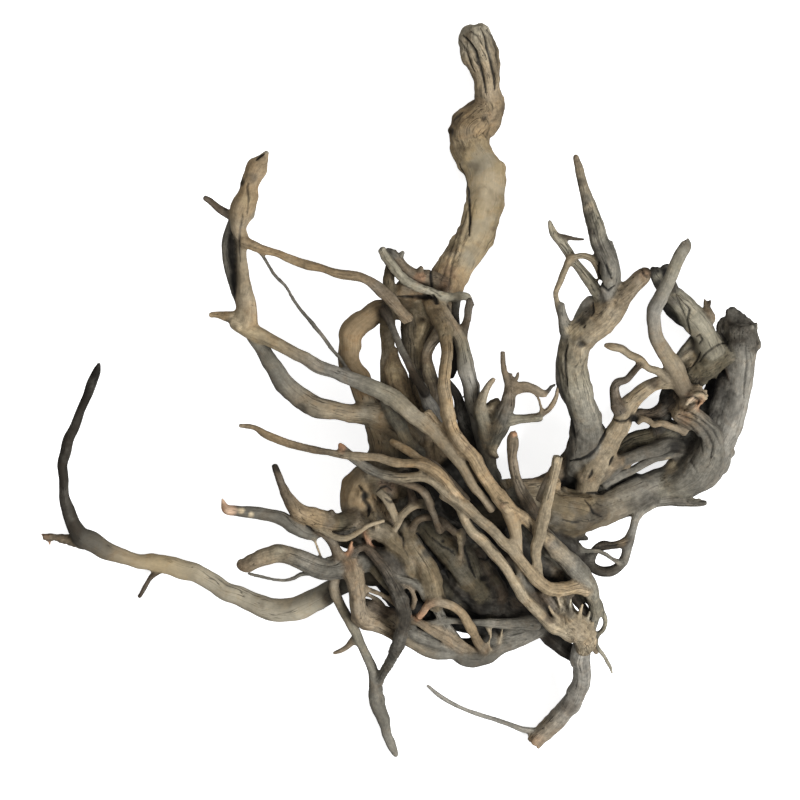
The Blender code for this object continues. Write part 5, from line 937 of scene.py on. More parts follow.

# Painted shade: how dark the wood's colour is made where little sky is seen: its least share of colour, and
# the shares of sky for least and full
SHADE_LEAST = 0.38
SHADE_START = 0.1
SHADE_RANGE = 0.52

# The floor and the lights, in metres and watts
FLOOR_REACH = 3.0
FLOOR_DROP = 0.0004
FLOOR_GLOW = 0.75
WORLD_LIGHT = 0.26
LIGHT_TARGET = (0.0, 0.0, 0.05)
KEY_PLACE = (1.5, -0.9, 1.7)
KEY_SIZE = 1.0
KEY_POWER = 62.0
KEY_COLOUR = (0.99, 0.99, 0.985)
FILL_PLACE = (-0.5, 0.9, 2.4)
FILL_SIZE = 2.0
FILL_POWER = 16.0
FILL_COLOUR = (1.0, 0.96, 0.88)

# Grooves in the wood, darkened with painted shade: (half width, depth, strength of the painted shade, from
# height, to height, points across and down)
GROOVES = (
    (1.7, 2.6, 0.85, 20, 90, ((463, 35), (469, 42), (475, 52), (480, 65), (483, 78), (486, 93))),
    (1.6, 2.4, 0.85, 20, 90, ((481, 27), (486, 37), (488, 48), (491, 60), (494, 76), (495, 90))),
    (1.1, 1.2, 0.55, 20, 90, ((470, 31), (478, 36), (484, 46))),
    (1.1, 1.4, 0.6, 20, 90, ((459, 40), (465, 49), (470, 60), (475, 73))),
    (1.0, 1.2, 0.6, 20, 90, ((488, 29), (493, 38), (497, 51), (499, 66))),
    (1.4, 1.8, 0.9, 15, 90, ((460, 164), (464, 178), (467, 190), (469, 205), (470, 222), (469, 236))),
    (1.0, 0.8, 0.4, 15, 120, ((468, 205), (462, 228), (456, 250), (451, 270), (449, 292))),
    (1.0, 0.7, 0.4, 15, 120, ((458, 228), (451, 250), (446, 268), (441, 284))),
    (1.0, 0.6, 0.35, 15, 120, ((476, 200), (470, 222), (463, 246), (458, 262))),
    (1.6, 1.6, 0.9, 60, 130, ((431, 270), (431.5, 280), (432, 288))),
    (2.4, 2.6, 0.8, 90, 140, ((398, 297), (410, 297.5), (422, 297), (431, 295), (437, 303), (437, 311))),
    (1.3, 1.4, 0.8, 60, 140, ((567, 344), (564, 356), (565, 370), (567, 386))),
    (1.3, 1.5, 0.8, 60, 140, ((571, 418), (573, 430), (575, 438))),
    (1.4, 2.0, 0.9, 100, 175, ((599, 262), (598, 273), (602, 286), (608, 291), (615, 286))),
    (1.2, 1.8, 0.9, 120, 175, ((606, 264), (608, 271), (612, 279))),
    (1.3, 1.4, 0.8, 100, 150, ((593, 303), (594, 313), (590, 323), (582, 328))),
    (1.0, 1.2, 0.7, 120, 180, ((641, 268), (644, 275), (648, 278))),
    (1.3, 1.6, 0.8, 50, 110, ((613, 419), (619, 421.5), (626, 421.5), (631, 418))),
    (1.5, 1.5, 0.9, 40, 110, ((606, 428), (603, 438), (597, 448), (589, 456), (580, 460), (569, 461))),
    (1.3, 1.5, 0.9, 50, 110, ((614, 456), (611, 461), (609, 465))),
    (1.5, 1.5, 0.8, 50, 110, ((592, 470), (591, 474), (588, 479))),
    (1.3, 1.2, 0.85, 30, 90, ((586, 493), (602, 493), (612, 487), (624, 480.5))),
    (1.0, 0.9, 0.7, 30, 90, ((563, 520), (572, 522), (580, 522))),
    (1.1, 1.2, 0.7, 60, 110, ((684, 303), (690, 309), (687, 320), (690, 334))),
    (1.0, 0.9, 0.6, 60, 110, ((675, 291), (680, 305), (686, 318))),
    (1.1, 1.0, 0.6, 50, 110, ((678, 414), (694, 420), (706, 430), (713, 444), (711, 458))),
    (1.0, 1.0, 0.6, 50, 110, ((684, 410), (700, 417), (714, 430), (720, 445))),
    (1.0, 0.9, 0.5, 40, 110, ((676, 418), (690, 426), (700, 438), (703, 452))),
    (1.0, 1.1, 0.7, 60, 110, ((686, 398), (693, 396), (699, 400), (697, 407))),
    (1.1, 1.2, 0.7, 40, 110, ((700, 352), (694, 362), (688, 372))),
    (1.1, 1.1, 0.7, 40, 110, ((720, 332), (726, 342), (732, 352))),
    (1.0, 0.8, 0.6, 40, 110, ((746, 345), (747, 362), (745, 380), (744, 398))),
    (1.0, 0.9, 0.6, 140, 190, ((251, 174), (247, 188), (249, 200), (247, 214))),
    (1.0, 0.8, 0.6, 140, 190, ((243, 214), (240, 230), (239, 246), (240, 262))),
    (1.2, 1.5, 0.9, 140, 200, ((256, 160), (260, 156), (264, 154))),
    (1.5, 1.8, 0.9, 60, 130, ((417, 533), (424, 544), (433, 556), (442, 568), (448, 580))),
    (1.0, 0.9, 0.5, 60, 130, ((398, 530), (403, 538), (404, 548), (409, 557))),
    (2.0, 1.8, 0.8, 60, 140, ((359, 486), (364, 492), (364, 500), (370, 507), (368, 516))),
    (1.1, 1.2, 0.8, 60, 140, ((376, 492), (381, 487), (387, 486), (392, 491))),
    (1.1, 1.2, 0.8, 60, 140, ((384, 498), (390, 502), (397, 500))),
    (1.2, 1.4, 0.9, 40, 120, ((462, 540), (466, 552), (470, 566), (476, 578))),
    (1.1, 1.2, 0.8, 40, 120, ((478, 558), (486, 560), (492, 556))),
    (1.1, 1.2, 0.8, 40, 120, ((432, 538), (441, 546), (449, 549), (456, 556))),
    (1.1, 1.0, 0.8, 30, 130, ((584, 501), (590, 506), (594, 513), (602, 517))),
    (1.0, 0.8, 0.7, 150, 220, ((497, 497), (503, 503), (509, 503))),
    (1.0, 0.8, 0.7, 150, 220, ((529, 519), (531, 528), (531, 538))),
    (1.1, 1.0, 0.7, 0, 90, ((452, 124), (457, 117), (463, 112))),
    (1.0, 0.9, 0.6, 40, 110, ((727, 341), (716, 346), (706, 353), (698, 362))),
    (1.0, 0.8, 0.7, 50, 110, ((696, 337), (700, 335), (702, 340), (699, 344))),
)

# Knots, pits, breaks and stains, and patches of painted shade and painted light: (across, down, from height,
# to height, reach, rise, tone, strength)
MARKS = (
    (450, 131, 0, 90, 6, -1.5, "black", 0.8),
    (456, 122, 0, 90, 8, 0.5, "umber", 0.6),
    (484, 119, 0, 90, 4, -1.2, "umber", 0.8),
    (503, 110, 0, 90, 7, 0.6, "umber", 0.6),
    (470, 100, 0, 90, 8, 0.0, "brown", 0.5),
    (468, 37, 0, 90, 8, 0.0, "umber", 0.4),
    (459, 230, 0, 90, 9, 0.0, "brown", 0.5),
    (452, 250, 0, 100, 9, 0.0, "brown", 0.55),
    (447, 270, 0, 110, 10, 0.0, "rust", 0.6),
    (444, 287, 0, 120, 10, 0.0, "rust", 0.6),
    (462, 150, 0, 90, 7, 0.0, "brown", 0.4),
    (420, 277, 90, 150, 7, 0.0, "orange", 0.4),
    (415, 290, 90, 130, 9, 0.0, "orange", 0.3),
    # Painted shadow cast on the loop root where the limb above crosses it.
    (384, 312, 90, 130, 10, 0.0, "black", 0.7),
    (397, 251, 120, 150, 7, 0.0, "slate", 0.7),
    (389, 252, 120, 150, 4, 0.0, "black", 0.8),
    (240, 183, 140, 200, 5, 0.0, "black", 0.9),
    (253, 178, 140, 200, 7, 0.0, "umber", 0.6),
    (267, 152, 140, 200, 5, 0.0, "grey", 0.9),
    (232, 322, 120, 170, 8, 0.0, "warm", 0.6),
    (262, 352, 100, 170, 9, 0.0, "charcoal", 0.6),
    (285, 400, 100, 170, 8, 0.0, "charcoal", 0.6),
    (300, 411, 100, 170, 9, 0.0, "charcoal", 0.65),
    (318, 418, 100, 170, 8, 0.0, "slate", 0.5),
    (365, 420, 90, 130, 12, 0.0, "grey", 0.6),
    (204, 197, 140, 200, 5, 0.0, "umber", 0.7),
    (582, 344, 90, 160, 6, -2.0, "black", 0.85),
    (578, 336, 90, 160, 5, -0.6, "umber", 0.7),
    (588, 311, 90, 150, 7, -1.0, "charcoal", 0.85),
    (581, 321, 90, 150, 7, -1.0, "charcoal", 0.85),
    (646, 272, 140, 180, 7, 0.0, "rust", 0.7),
    (576, 157, 150, 210, 6, 0.8, "brown", 0.7),
    # Painted shade along the spike's left face, away from the light.
    (580, 182, 150, 210, 6, 0.0, "charcoal", 0.7),
    (584, 200, 150, 210, 7, 0.0, "charcoal", 0.7),
    (588, 217, 150, 210, 7, 0.0, "charcoal", 0.75),
    (592, 232, 150, 210, 7, 0.0, "charcoal", 0.8),
    (598, 247, 140, 210, 7, 0.0, "charcoal", 0.8),
    (634, 419, 50, 110, 6, -2.2, "black", 0.95),
    (626, 393, 50, 110, 4, 0.0, "black", 0.7),
    (655, 384, 50, 110, 8, 0.0, "umber", 0.9),
    # Painted shade in the hollows inside the twisted hook.
    (666, 398, 30, 80, 16, 0.0, "black", 0.85),
    (688, 437, 20, 64, 12, 0.0, "black", 0.9),
    (664, 452, 20, 60, 7, 0.0, "black", 0.6),
    (594, 517, 20, 130, 10, -0.8, "charcoal", 0.7),
    (588, 478, 30, 62, 8, 0.0, "black", 0.7),
    (568, 482, 20, 66, 14, 0.0, "black", 0.9),
    (742, 322, 40, 90, 17, 0.0, "dusk", 0.95),
    (736, 336, 40, 90, 10, 0.0, "charcoal", 0.8),
    (751, 340, 40, 90, 10, 0.0, "charcoal", 0.8),
    (746, 352, 40, 90, 10, 0.0, "slate", 0.6),
    (700, 404, 60, 110, 8, 0.0, "orange", 0.55),
    (690, 398, 60, 110, 6, 0.0, "pink", 0.4),
    (684, 418, 50, 110, 9, 0.0, "rust", 0.6),
    # Painted shade deep in the hollow behind the hook.
    (716, 400, 0, 60, 26, 0.0, "black", 0.8),
    (700, 372, 40, 80, 16, 0.0, "dusk", 0.6),
    (655, 270, 60, 300, 10, 0.0, "black", 0.95),
    (668, 274, 60, 130, 10, 0.0, "black", 0.95),
    (659, 284, 60, 130, 7, 0.0, "dusk", 0.8),
    (674, 300, 60, 130, 8, 0.0, "charcoal", 0.7),
    (99, 368, 0, 200, 16, 0.0, "black", 0.35),
    (90, 543, 0, 60, 16, 0.0, "slate", 0.7),
    (104, 549, 0, 60, 12, 0.0, "slate", 0.6),
    # Painted shadow cast on the end of the long left root by the roots over it.
    (327, 597, 0, 80, 9, 0.0, "umber", 0.75),
    (334, 589, 0, 90, 10, 0.0, "dusk", 0.9),
    (262, 606, 0, 80, 4, 0.0, "brown", 0.5),
    (46, 537, 0, 300, 4, 0.3, "rust", 0.8),
    (418, 617, 60, 300, 6, 0.0, "orange", 0.9),
    (229, 510, 100, 300, 8, 0.5, "pink", 0.95),
    (242, 511, 100, 300, 4, 0.4, "bone", 0.8),
    (251, 514, 100, 300, 4.5, 0.4, "bone", 0.8),
    (275, 465, 100, 200, 9, 0.0, "black", 0.7),
    (281, 482, 100, 200, 9, 0.0, "umber", 0.5),
    (514, 434, 150, 200, 6, 0.6, "orange", 0.7),
    (513, 445, 150, 200, 5, -0.8, "umber", 0.5),
    (556, 458, 150, 200, 6, 0.3, "grey", 0.6),
    (551, 387, 100, 300, 7, 0.0, "black", 0.95),
    (503, 505, 150, 220, 5, 0.9, "rust", 0.6),
    (469, 449, 150, 220, 5, 0.8, "rust", 0.4),
    (342, 449, 150, 200, 5, 0.0, "orange", 0.4),
    (350, 566, 90, 140, 9, 0.0, "rust", 0.5),
    (242, 566, 100, 140, 10, 0.0, "rust", 0.35),
    (576, 634, 80, 160, 12, 0.5, "warm", 0.5),
    (568, 612, 80, 160, 9, 0.0, "dusk", 0.6),
    (570, 706, 0, 60, 10, 0.0, "umber", 0.6),
    (580, 690, 0, 60, 10, 0.0, "umber", 0.35),
    (536, 742, 0, 60, 9, 0.0, "rust", 0.5),
    (466, 69, 0, 90, 4, 0.9, "umber", 0.8),
    (492, 70, 0, 90, 11, 0.0, "brown", 0.35),
    (484, 96, 0, 90, 13, 0.0, "brown", 0.4),
    (494, 116, 0, 90, 11, 0.0, "brown", 0.4),
    (468, 134, 0, 90, 11, 0.0, "brown", 0.35),
    (480, 162, 0, 90, 18, 0.0, "pale", 0.7),
    (476, 168, 0, 90, 6, 0.0, "brown", 0.45),
    (470, 164, 0, 90, 5, 0.0, "brown", 0.4),
    (490, 190, 0, 90, 20, 0.0, "bone", 0.85),
    (487, 214, 0, 90, 13, 0.0, "bone", 0.5),
    (482, 228, 0, 90, 16, 0.0, "pale", 0.5),
    (470, 258, 0, 90, 12, 0.0, "grey", 0.7),
    (478, 250, 0, 90, 10, 0.0, "tan", 0.5),
    (493, 229, 0, 90, 4, 0.5, "brown", 0.6),
    (452, 276, 0, 120, 6, 0.0, "rust", 0.5),
    # Painted shade on the right side of the pale grey slope and beside it.
    (420, 541, 60, 125, 6, 0.0, "slate", 0.7),
    (427, 553, 60, 125, 6, 0.0, "charcoal", 0.8),
    (400, 567, 60, 130, 8, 0.0, "dusk", 0.7),
    (450, 541, 50, 125, 6, 0.0, "olive", 0.8),
    (459, 561, 50, 125, 8, 0.0, "olive", 0.6),
    (470, 586, 50, 120, 8, 0.0, "olive", 0.4),
    # Painted shade in the dark slots of the heart.
    (443, 541, 60, 125, 2.6, -0.8, "black", 0.9),
    (453, 551, 60, 125, 2.4, -0.6, "black", 0.9),
    (480, 552, 40, 120, 7, 0.0, "umber", 0.7),
    (475, 546, 40, 120, 3.5, 0.5, "grey", 0.6),
    (488, 566, 40, 120, 6, 0.4, "olive", 0.8),
    (496, 581, 40, 120, 6, 0.0, "moss", 0.8),
    # Painted shade in more slots of the heart.
    (484, 579, 40, 110, 5, -0.8, "black", 0.8),
    (491, 551, 40, 120, 4, -0.6, "black", 0.8),
    (505, 575, 40, 120, 5, 0.0, "black", 0.6),
    (503, 597, 30, 100, 8, 0.0, "umber", 0.7),
    (517, 602, 30, 100, 8, 0.0, "umber", 0.8),
    # Painted shade in the dark cavern low in the heart.
    (471, 601, 30, 90, 9, 0.0, "black", 0.8),
    (487, 607, 30, 90, 10, 0.0, "black", 0.85),
    (455, 601, 30, 90, 6, 0.0, "slate", 0.6),
    (390, 487, 80, 140, 8, 0.6, "rust", 0.8),
    (351, 486, 60, 140, 11, 0.0, "honey", 0.5),
    (349, 502, 60, 140, 10, 0.0, "honey", 0.4),
    (365, 496, 60, 140, 6, -1.4, "dusk", 0.9),
    (369, 509, 60, 140, 5, -0.8, "umber", 0.7),
    (383, 501, 60, 122, 5, -0.8, "umber", 0.7),
    (402, 442, 0, 140, 14, 0.0, "straw", 0.8),
    (370, 410, 60, 200, 13, 0.0, "pale", 0.7),
    (402, 468, 0, 140, 8, 0.0, "tan", 0.7),
    # Painted light: the right trunk's top near its left end is made pale where the limbs above shade it.
    (535, 494, 40, 130, 13, 0.0, "bone", 1.0),
    (670, 465, 0, 60, 8, 0.0, "bone", 0.8),
    (495, 450, 60, 200, 7, 0.0, "bone", 0.8),
    (494, 426, 60, 200, 8, 0.0, "tan", 0.7),
    (506, 484, 40, 150, 7, 0.0, "straw", 0.6),
    (520, 503, 40, 112, 9, 0.0, "tan", 0.5),
    # Painted shade along the underside of the right trunk, with the painted shadow of the curling root.
    (651, 499, 10, 110, 11, 0.0, "dusk", 0.8),
    (634, 504, 20, 110, 9, 0.0, "charcoal", 0.7),
    (600, 511, 20, 130, 12, 0.0, "charcoal", 0.7),
    (582, 522, 20, 130, 12, 0.0, "charcoal", 0.7),
    (574, 508, 30, 130, 7, 0.0, "slate", 0.4),
    (556, 521, 20, 130, 10, 0.0, "slate", 0.7),
    # Painted shade in the hollow beside the twisted hook.
    (676, 448, 30, 90, 9, 0.0, "black", 0.85),
    (685, 429, 20, 66, 10, 0.0, "black", 0.9),
    (752, 337, 40, 90, 8, 0.0, "charcoal", 0.7),
    (592, 447, 50, 110, 9, 0.0, "umber", 0.5),
    (609, 262, 140, 200, 8, 0.0, "slate", 0.6),
    (592, 206, 150, 210, 4, 0.0, "tan", 0.6),
    (239, 319, 120, 190, 10, 0.0, "bone", 0.7),
    (247, 200, 140, 200, 6, 0.0, "straw", 0.5),
    (330, 524, 100, 150, 7, 0.0, "umber", 0.6),
    (306, 516, 100, 160, 7, 0.0, "honey", 0.5),
    (455, 655, 40, 100, 12, 0.0, "slate", 0.5),
    (478, 662, 40, 100, 10, 0.0, "slate", 0.5),
    (510, 642, 40, 90, 10, 0.0, "slate", 0.5),
    # Painted light on the brown stump's tan foot, where shade falls.
    (389, 622, 20, 160, 8, 0.0, "tan", 0.8),
    (558, 573, 60, 142, 9, 0.0, "warm", 0.8),
    (549, 562, 60, 142, 6, 0.0, "brown", 0.6),
    (622, 541, 0, 120, 8, 0.0, "warm", 0.7),
    (572, 612, 60, 200, 5, 0.0, "umber", 0.6),
    (586, 612, 60, 200, 4, 0.0, "umber", 0.5),
    (250, 566, 90, 170, 9, 0.0, "warm", 0.6),
    (278, 551, 90, 170, 9, 0.0, "grey", 0.6),
    (486, 442, 100, 170, 7, 0.0, "grey", 0.5),
    (512, 402, 140, 200, 6, 0.0, "umber", 0.6),
    # Painted light on the tan wedge, the pale post and the tan lump, lifting the painted sky shade there.
    (394, 373, 60, 150, 11, 0.0, "straw", 0.8),
    (432, 370, 60, 150, 10, 0.0, "bone", 0.9),
    (422, 310, 0, 127, 13, 0.0, "bone", 0.9),
    (549, 619, 40, 200, 7, 0.0, "umber", 0.8),
    (605, 295, 90, 190, 8, 0.0, "ash", 0.6),
    (575, 330, 60, 160, 9, 0.0, "straw", 0.7),
    (555, 545, 60, 200, 9, 0.0, "slate", 0.8),
    (690, 360, 40, 110, 9, 0.0, "bone", 0.8),
    (610, 480, 30, 100, 9, 0.0, "slate", 0.5),
    # Painted light on the upper edge of the long left root, which the lamps leave darker.
    (286, 599, 0, 90, 11, 0.0, "bone", 0.7),
    (302, 597, 0, 90, 8, 0.0, "pale", 0.6),
    (390, 403, 100, 170, 6, 0.0, "tan", 0.5),
    (374, 588, 60, 112, 5, 0.0, "dusk", 0.7),
)


def mixed_bits(number):
    """Scramble whole numbers, so that neighbours come out unlike each other."""
    number = (number ^ (number >> np.uint32(15))) * np.uint32(0x2C1B3C6D)
    number = (number ^ (number >> np.uint32(12))) * np.uint32(0x297A2D39)
    return number ^ (number >> np.uint32(15))


def lattice(x, y, z, seed):
    """A fixed value from -1 to 1 at each whole-number point of space."""
    x = x.astype(np.int64).astype(np.uint32)
    y = y.astype(np.int64).astype(np.uint32)
    z = z.astype(np.int64).astype(np.uint32)
    salted = mixed_bits(x + np.uint32(seed * 7919 + 11))
    salted = mixed_bits(salted ^ (y + np.uint32(0x9E3779B9)))
    salted = mixed_bits(salted ^ (z + np.uint32(0x85EBCA6B)))
    return salted.astype(np.float64) / 2147483647.5 - 1.0


def noise(points, seed=0):
    """Smooth value noise from -1 to 1 at an array of points in space."""
    base = np.floor(points)
    inside = points - base
    inside = inside * inside * (3.0 - 2.0 * inside)
    total = np.zeros(len(points))
    for corner in range(8):
        step = np.array([corner & 1, (corner >> 1) & 1, corner >> 2])
        weight = np.prod(np.where(step == 1, inside, 1.0 - inside), axis=1)
        spot = base + step
        total += weight * lattice(spot[:, 0], spot[:, 1], spot[:, 2], seed)
    return total


def smooth_route(points, steps=8):
    """The route with extra points on a smooth Catmull-Rom curve through the given ones."""
    knots = np.array(points, dtype=float)
    knots = np.vstack([knots[:1], knots, knots[-1:]])
    share = np.linspace(0.0, 1.0, steps, endpoint=False)[:, None]
    route = []
    for index in range(1, len(knots) - 2):
        before, start, end, after = knots[index - 1 : index + 3]
        route.append(
            start
            + (end - before) * (0.5 * share)
            + (before * 2 - start * 5 + end * 4 - after) * (0.5 * share**2)
            + (start * 3 - before - end * 3 + after) * (0.5 * share**3)
        )
    route.append(knots[-1:])
    return np.vstack(route)


def place(cells):
    """Metres from plan cells, and how much smaller things are drawn at their height."""
    lean = 1.0 - cells[:, 2] * CELL / EYE_HEIGHT
    x = (cells[:, 0] - PLAN_CENTRE) * CELL * lean - ORIGIN_X
    y = (PLAN_CENTRE - cells[:, 1]) * CELL * lean - ORIGIN_Y
    return np.column_stack([x, y, (cells[:, 2] - FLOOR_TRIM) * CELL]), lean


def plan_of(points):
    """Plan cells from metres, as the point is seen from above."""
    height = points[:, 2] / CELL + FLOOR_TRIM
    lean = 1.0 - height * CELL / EYE_HEIGHT
    across = (points[:, 0] + ORIGIN_X) / (CELL * lean) + PLAN_CENTRE
    down = PLAN_CENTRE - (points[:, 1] + ORIGIN_Y) / (CELL * lean)
    return np.column_stack([across, down, height])


def evenly(centre, half):
    """The route again with points one ring step apart."""
    gaps = np.linalg.norm(np.diff(centre, axis=0), axis=1)
    along = np.concatenate([[0.0], np.cumsum(gaps)])
    count = max(int(along[-1] / RING_STEP), 3)
    stops = np.linspace(0.0, along[-1], count)
    spots = np.column_stack([np.interp(stops, along, centre[:, axis]) for axis in range(3)])
    return spots, np.interp(stops, along, half), stops


def moving_frames(centre):
    """Along-grain direction and two cross directions at each point, turned as little as possible."""
    ahead = np.gradient(centre, axis=0)
    ahead /= np.linalg.norm(ahead, axis=1)[:, None]
    side = np.zeros_like(ahead)
    start = np.cross(ahead[0], (0.31, 0.17, 0.93))
    side[0] = start / np.linalg.norm(start)
    for index in range(1, len(centre)):
        turned = side[index - 1] - ahead[index] * np.dot(side[index - 1], ahead[index])
        side[index] = turned / np.linalg.norm(turned)
    return ahead, side, np.cross(ahead, side)


def flutes(angle, along, half, seed, smooth):
    """How far each spot of a limb stands out, as a share of its half thickness; less where it is smooth."""
    turned = angle + 6.0 * along[:, None] + seed
    cross_x = np.cos(turned)
    cross_y = np.sin(turned)
    thick = np.clip(half / 0.012, 0.25, 1.0)[:, None]
    long_way = np.broadcast_to(along[:, None], turned.shape)

    def layer(lobes, length, salt):
        points = np.column_stack([
            (cross_x * lobes).ravel(), (cross_y * lobes).ravel(), (long_way / length).ravel() + seed * 3.7,
        ])
        return noise(points, salt).reshape(turned.shape)

    broad = 0.13 * layer(0.9, 0.045, 1)
    grooves = 0.07 * layer(2.2, 0.06, 2) * (0.5 + 0.5 * thick)
    ribs = 0.03 * layer(5.0, 0.05, 3) * thick
    knobs = 0.075 * layer(1.6, 0.012, 4) * (1.2 - 0.75 * thick)
    nubs = 0.55 * np.clip(layer(1.1, 0.011, 5) - 0.55, 0.0, 0.4)
    bites = 0.4 * np.clip(layer(1.3, 0.014, 6) - 0.6, 0.0, 0.3)
    return broad + (grooves + ribs + knobs + nubs - bites) * (1.0 - 0.7 * smooth)


def kinked(centre, half, along, side, up, seed):
    """The limb's middle line with small kinks."""
    aside = noise(np.column_stack([along / 0.013, along * 0 + seed, along * 0]), 7)
    raised = noise(np.column_stack([along / 0.015, along * 0 + seed, along * 0]), 8)
    reach = np.clip(0.2 * half, 0.0003, 0.0012)
    return centre + side * (aside * reach)[:, None] + up * (raised * reach)[:, None]


def limb_mesh(index, name, points):
    """One limb: its vertices, faces and, for each ring, the centre, directions and distance along it."""
    cells = smooth_route(points)
    cells[:, 3] = np.maximum(cells[:, 3], THINNEST)
    centre, lean = place(cells)
    centre, half, along = evenly(centre, cells[:, 3] * CELL * lean)
    ahead, side, up = moving_frames(centre)
    centre = kinked(centre, half, along, side, up, index * 0.77)
    sides = int(np.clip(2 * math.pi * half.mean() / RING_STEP, LEAST_SIDES, MOST_SIDES))
    angle = np.linspace(0.0, 2 * math.pi, sides, endpoint=False)[None, :]
    relief = flutes(angle, along, half, index * 1.37, SMOOTH_LIMBS.get(name, 0.0))
    reach = half[:, None] * (1.0 + relief)
    rings = centre[:, None, :] + reach[:, :, None] * (
        np.cos(angle)[:, :, None] * side[:, None, :] + np.sin(angle)[:, :, None] * up[:, None, :]
    )
    start_cap, end_cap = END_STYLES.get(name, ("round", "round"))
    rings = np.concatenate([
        cap_rings(rings[0], centre[0], -ahead[0], half[0], start_cap, index)[::-1],
        rings,
        cap_rings(rings[-1], centre[-1], ahead[-1], half[-1], end_cap, index + 500),
    ])
    count = len(rings)
    verts = rings.reshape(-1, 3)
    near = np.clip(np.arange(count) - (count - len(centre)) // 2, 0, len(centre) - 1)
    tips = np.vstack([rings[0].mean(axis=0), rings[-1].mean(axis=0)])
    ring = np.arange(count - 1)[:, None] * sides
    spot = np.arange(sides)[None, :]
    following = (spot + 1) % sides
    quads = np.stack([ring + spot, ring + following, ring + sides + following, ring + sides + spot], axis=-1)
    last = (count - 1) * sides
    spot = spot[0]
    following = following[0]
    fans = np.vstack([
        np.column_stack([np.full(sides, count * sides), following, spot]),
        np.column_stack([np.full(sides, count * sides + 1), last + spot, last + following]),
    ])
    rings_of = np.concatenate([np.repeat(near, sides), [0, len(centre) - 1]])
    return {
        "verts": np.vstack([verts, tips]),
        "quads": quads.reshape(-1, 4),
        "fans": fans,
        "ring": rings_of,
        "centre": centre,
        "ahead": ahead,
        "side": side,
        "up": up,
        "along": along,
        "half": half,
    }


def cap_rings(ring, centre, outward, half, style, seed):
    """Rings that close a limb's end, which is worn round, pointed or torn."""
    spread = ring - centre
    angle = np.linspace(0.0, 2 * math.pi, len(ring), endpoint=False)
    round_way = np.column_stack([np.cos(angle) * 2.6, np.sin(angle) * 2.6, np.full(len(ring), seed * 1.9)])
    teeth = noise(round_way, 9)
    caps = []
    if style == "torn":
        for share, shrink in ((0.15, 1.0), (0.35, 0.97), (0.2, 0.7), (-0.15, 0.4)):
            lift = half * (share + 0.85 * teeth * min(share + 0.2, 0.45))
            caps.append(centre + spread * shrink + outward * lift[:, None])
        return np.array(caps)
    length = 0.9 if style == "pointed" else 0.45
    for turn in (0.35, 0.7, 1.05, 1.35):
        lift = half * length * math.sin(turn) * (1.0 + 0.3 * teeth)
        caps.append(centre + spread * math.cos(turn) + outward * lift[:, None])
    return np.array(caps)


def gathered_limbs(routes):
    """All limbs in one set of arrays, with the limb and ring of every vertex."""
    limbs = [limb_mesh(index, name, points) for index, (name, points) in enumerate(routes.items())]
    starts = np.cumsum([0] + [len(limb["verts"]) for limb in limbs])
    ring_counts = [len(limb["centre"]) for limb in limbs]
    ring_starts = np.cumsum([0] + ring_counts)
    gathered = {"verts": np.vstack([limb["verts"] for limb in limbs])}
    gathered["quads"] = np.vstack([limb["quads"] + start for limb, start in zip(limbs, starts)])
    gathered["fans"] = np.vstack([limb["fans"] + start for limb, start in zip(limbs, starts)])
    gathered["ring"] = np.concatenate([limb["ring"] + start for limb, start in zip(limbs, ring_starts)])
    gathered["limb"] = np.repeat(np.arange(len(limbs)), ring_counts)
    for key in ("centre", "ahead", "side", "up", "along", "half"):
        gathered[key] = np.concatenate([limb[key] for limb in limbs])
    return gathered


def mesh_from(name, verts, faces_by_size):
    """A Blender mesh from vertex and face arrays; the faces come in arrays of equal face size."""
    mesh = bpy.data.meshes.new(name)
    corners = np.concatenate([faces.ravel() for faces in faces_by_size]).astype(np.int32)
    sizes = np.repeat([faces.shape[1] for faces in faces_by_size], [len(faces) for faces in faces_by_size])
    starts = np.concatenate([[0], np.cumsum(sizes)[:-1]]).astype(np.int32)
    mesh.vertices.add(len(verts))
    mesh.vertices.foreach_set("co", verts.astype(np.float32).ravel())
    mesh.loops.add(len(corners))
    mesh.loops.foreach_set("vertex_index", corners)
    mesh.polygons.add(len(sizes))
    mesh.polygons.foreach_set("loop_start", starts)
    mesh.update(calc_edges=True)
    return mesh


def fused_skin(gathered):
    """Vertices and quads of the limbs' common outer surface, on a fine voxel grid."""
    mesh = mesh_from("limbs", gathered["verts"], [gathered["quads"], gathered["fans"]])
    item = bpy.data.objects.new("limbs", mesh)
    bpy.context.scene.collection.objects.link(item)
    remesh = item.modifiers.new("fuse", "REMESH")
    remesh.mode = "VOXEL"
    remesh.voxel_size = VOXEL
    remesh.adaptivity = 0.0
    bpy.context.view_layer.update()
    graph = bpy.context.evaluated_depsgraph_get()
    skin = bpy.data.meshes.new_from_object(item.evaluated_get(graph))
    bpy.data.objects.remove(item)
    verts = np.empty(len(skin.vertices) * 3, dtype=np.float32)
    skin.vertices.foreach_get("co", verts)
    corners = np.empty(len(skin.loops), dtype=np.int32)
    skin.loops.foreach_get("vertex_index", corners)
    bpy.data.meshes.remove(skin)
    return verts.reshape(-1, 3).astype(float), corners.reshape(-1, 4)


def largest_body(verts, quads):
    """Only the outer skin: sealed hollows and scraps are dropped."""
    group = np.arange(len(verts))
    while True:
        lowest = group[quads].min(axis=1)
        moved = group.copy()
        for corner in range(4):
            np.minimum.at(moved, quads[:, corner], lowest)
        moved = moved[moved]
        if (moved == group).all():
            break
        group = moved
    names, sizes = np.unique(group, return_counts=True)
    kept = group == names[sizes.argmax()]
    renumber = np.cumsum(kept) - 1
    quads = quads[kept[quads[:, 0]]]
    return verts[kept], renumber[quads]


def edges_of(quads):
    """Each edge of the skin once."""
    pairs = np.vstack([quads[:, [0, 1]], quads[:, [1, 2]], quads[:, [2, 3]], quads[:, [3, 0]]])
    pairs = np.sort(pairs, axis=1)
    stride = int(quads.max()) + 1
    keys = np.unique(pairs[:, 0].astype(np.int64) * stride + pairs[:, 1])
    return np.column_stack([keys // stride, keys % stride])


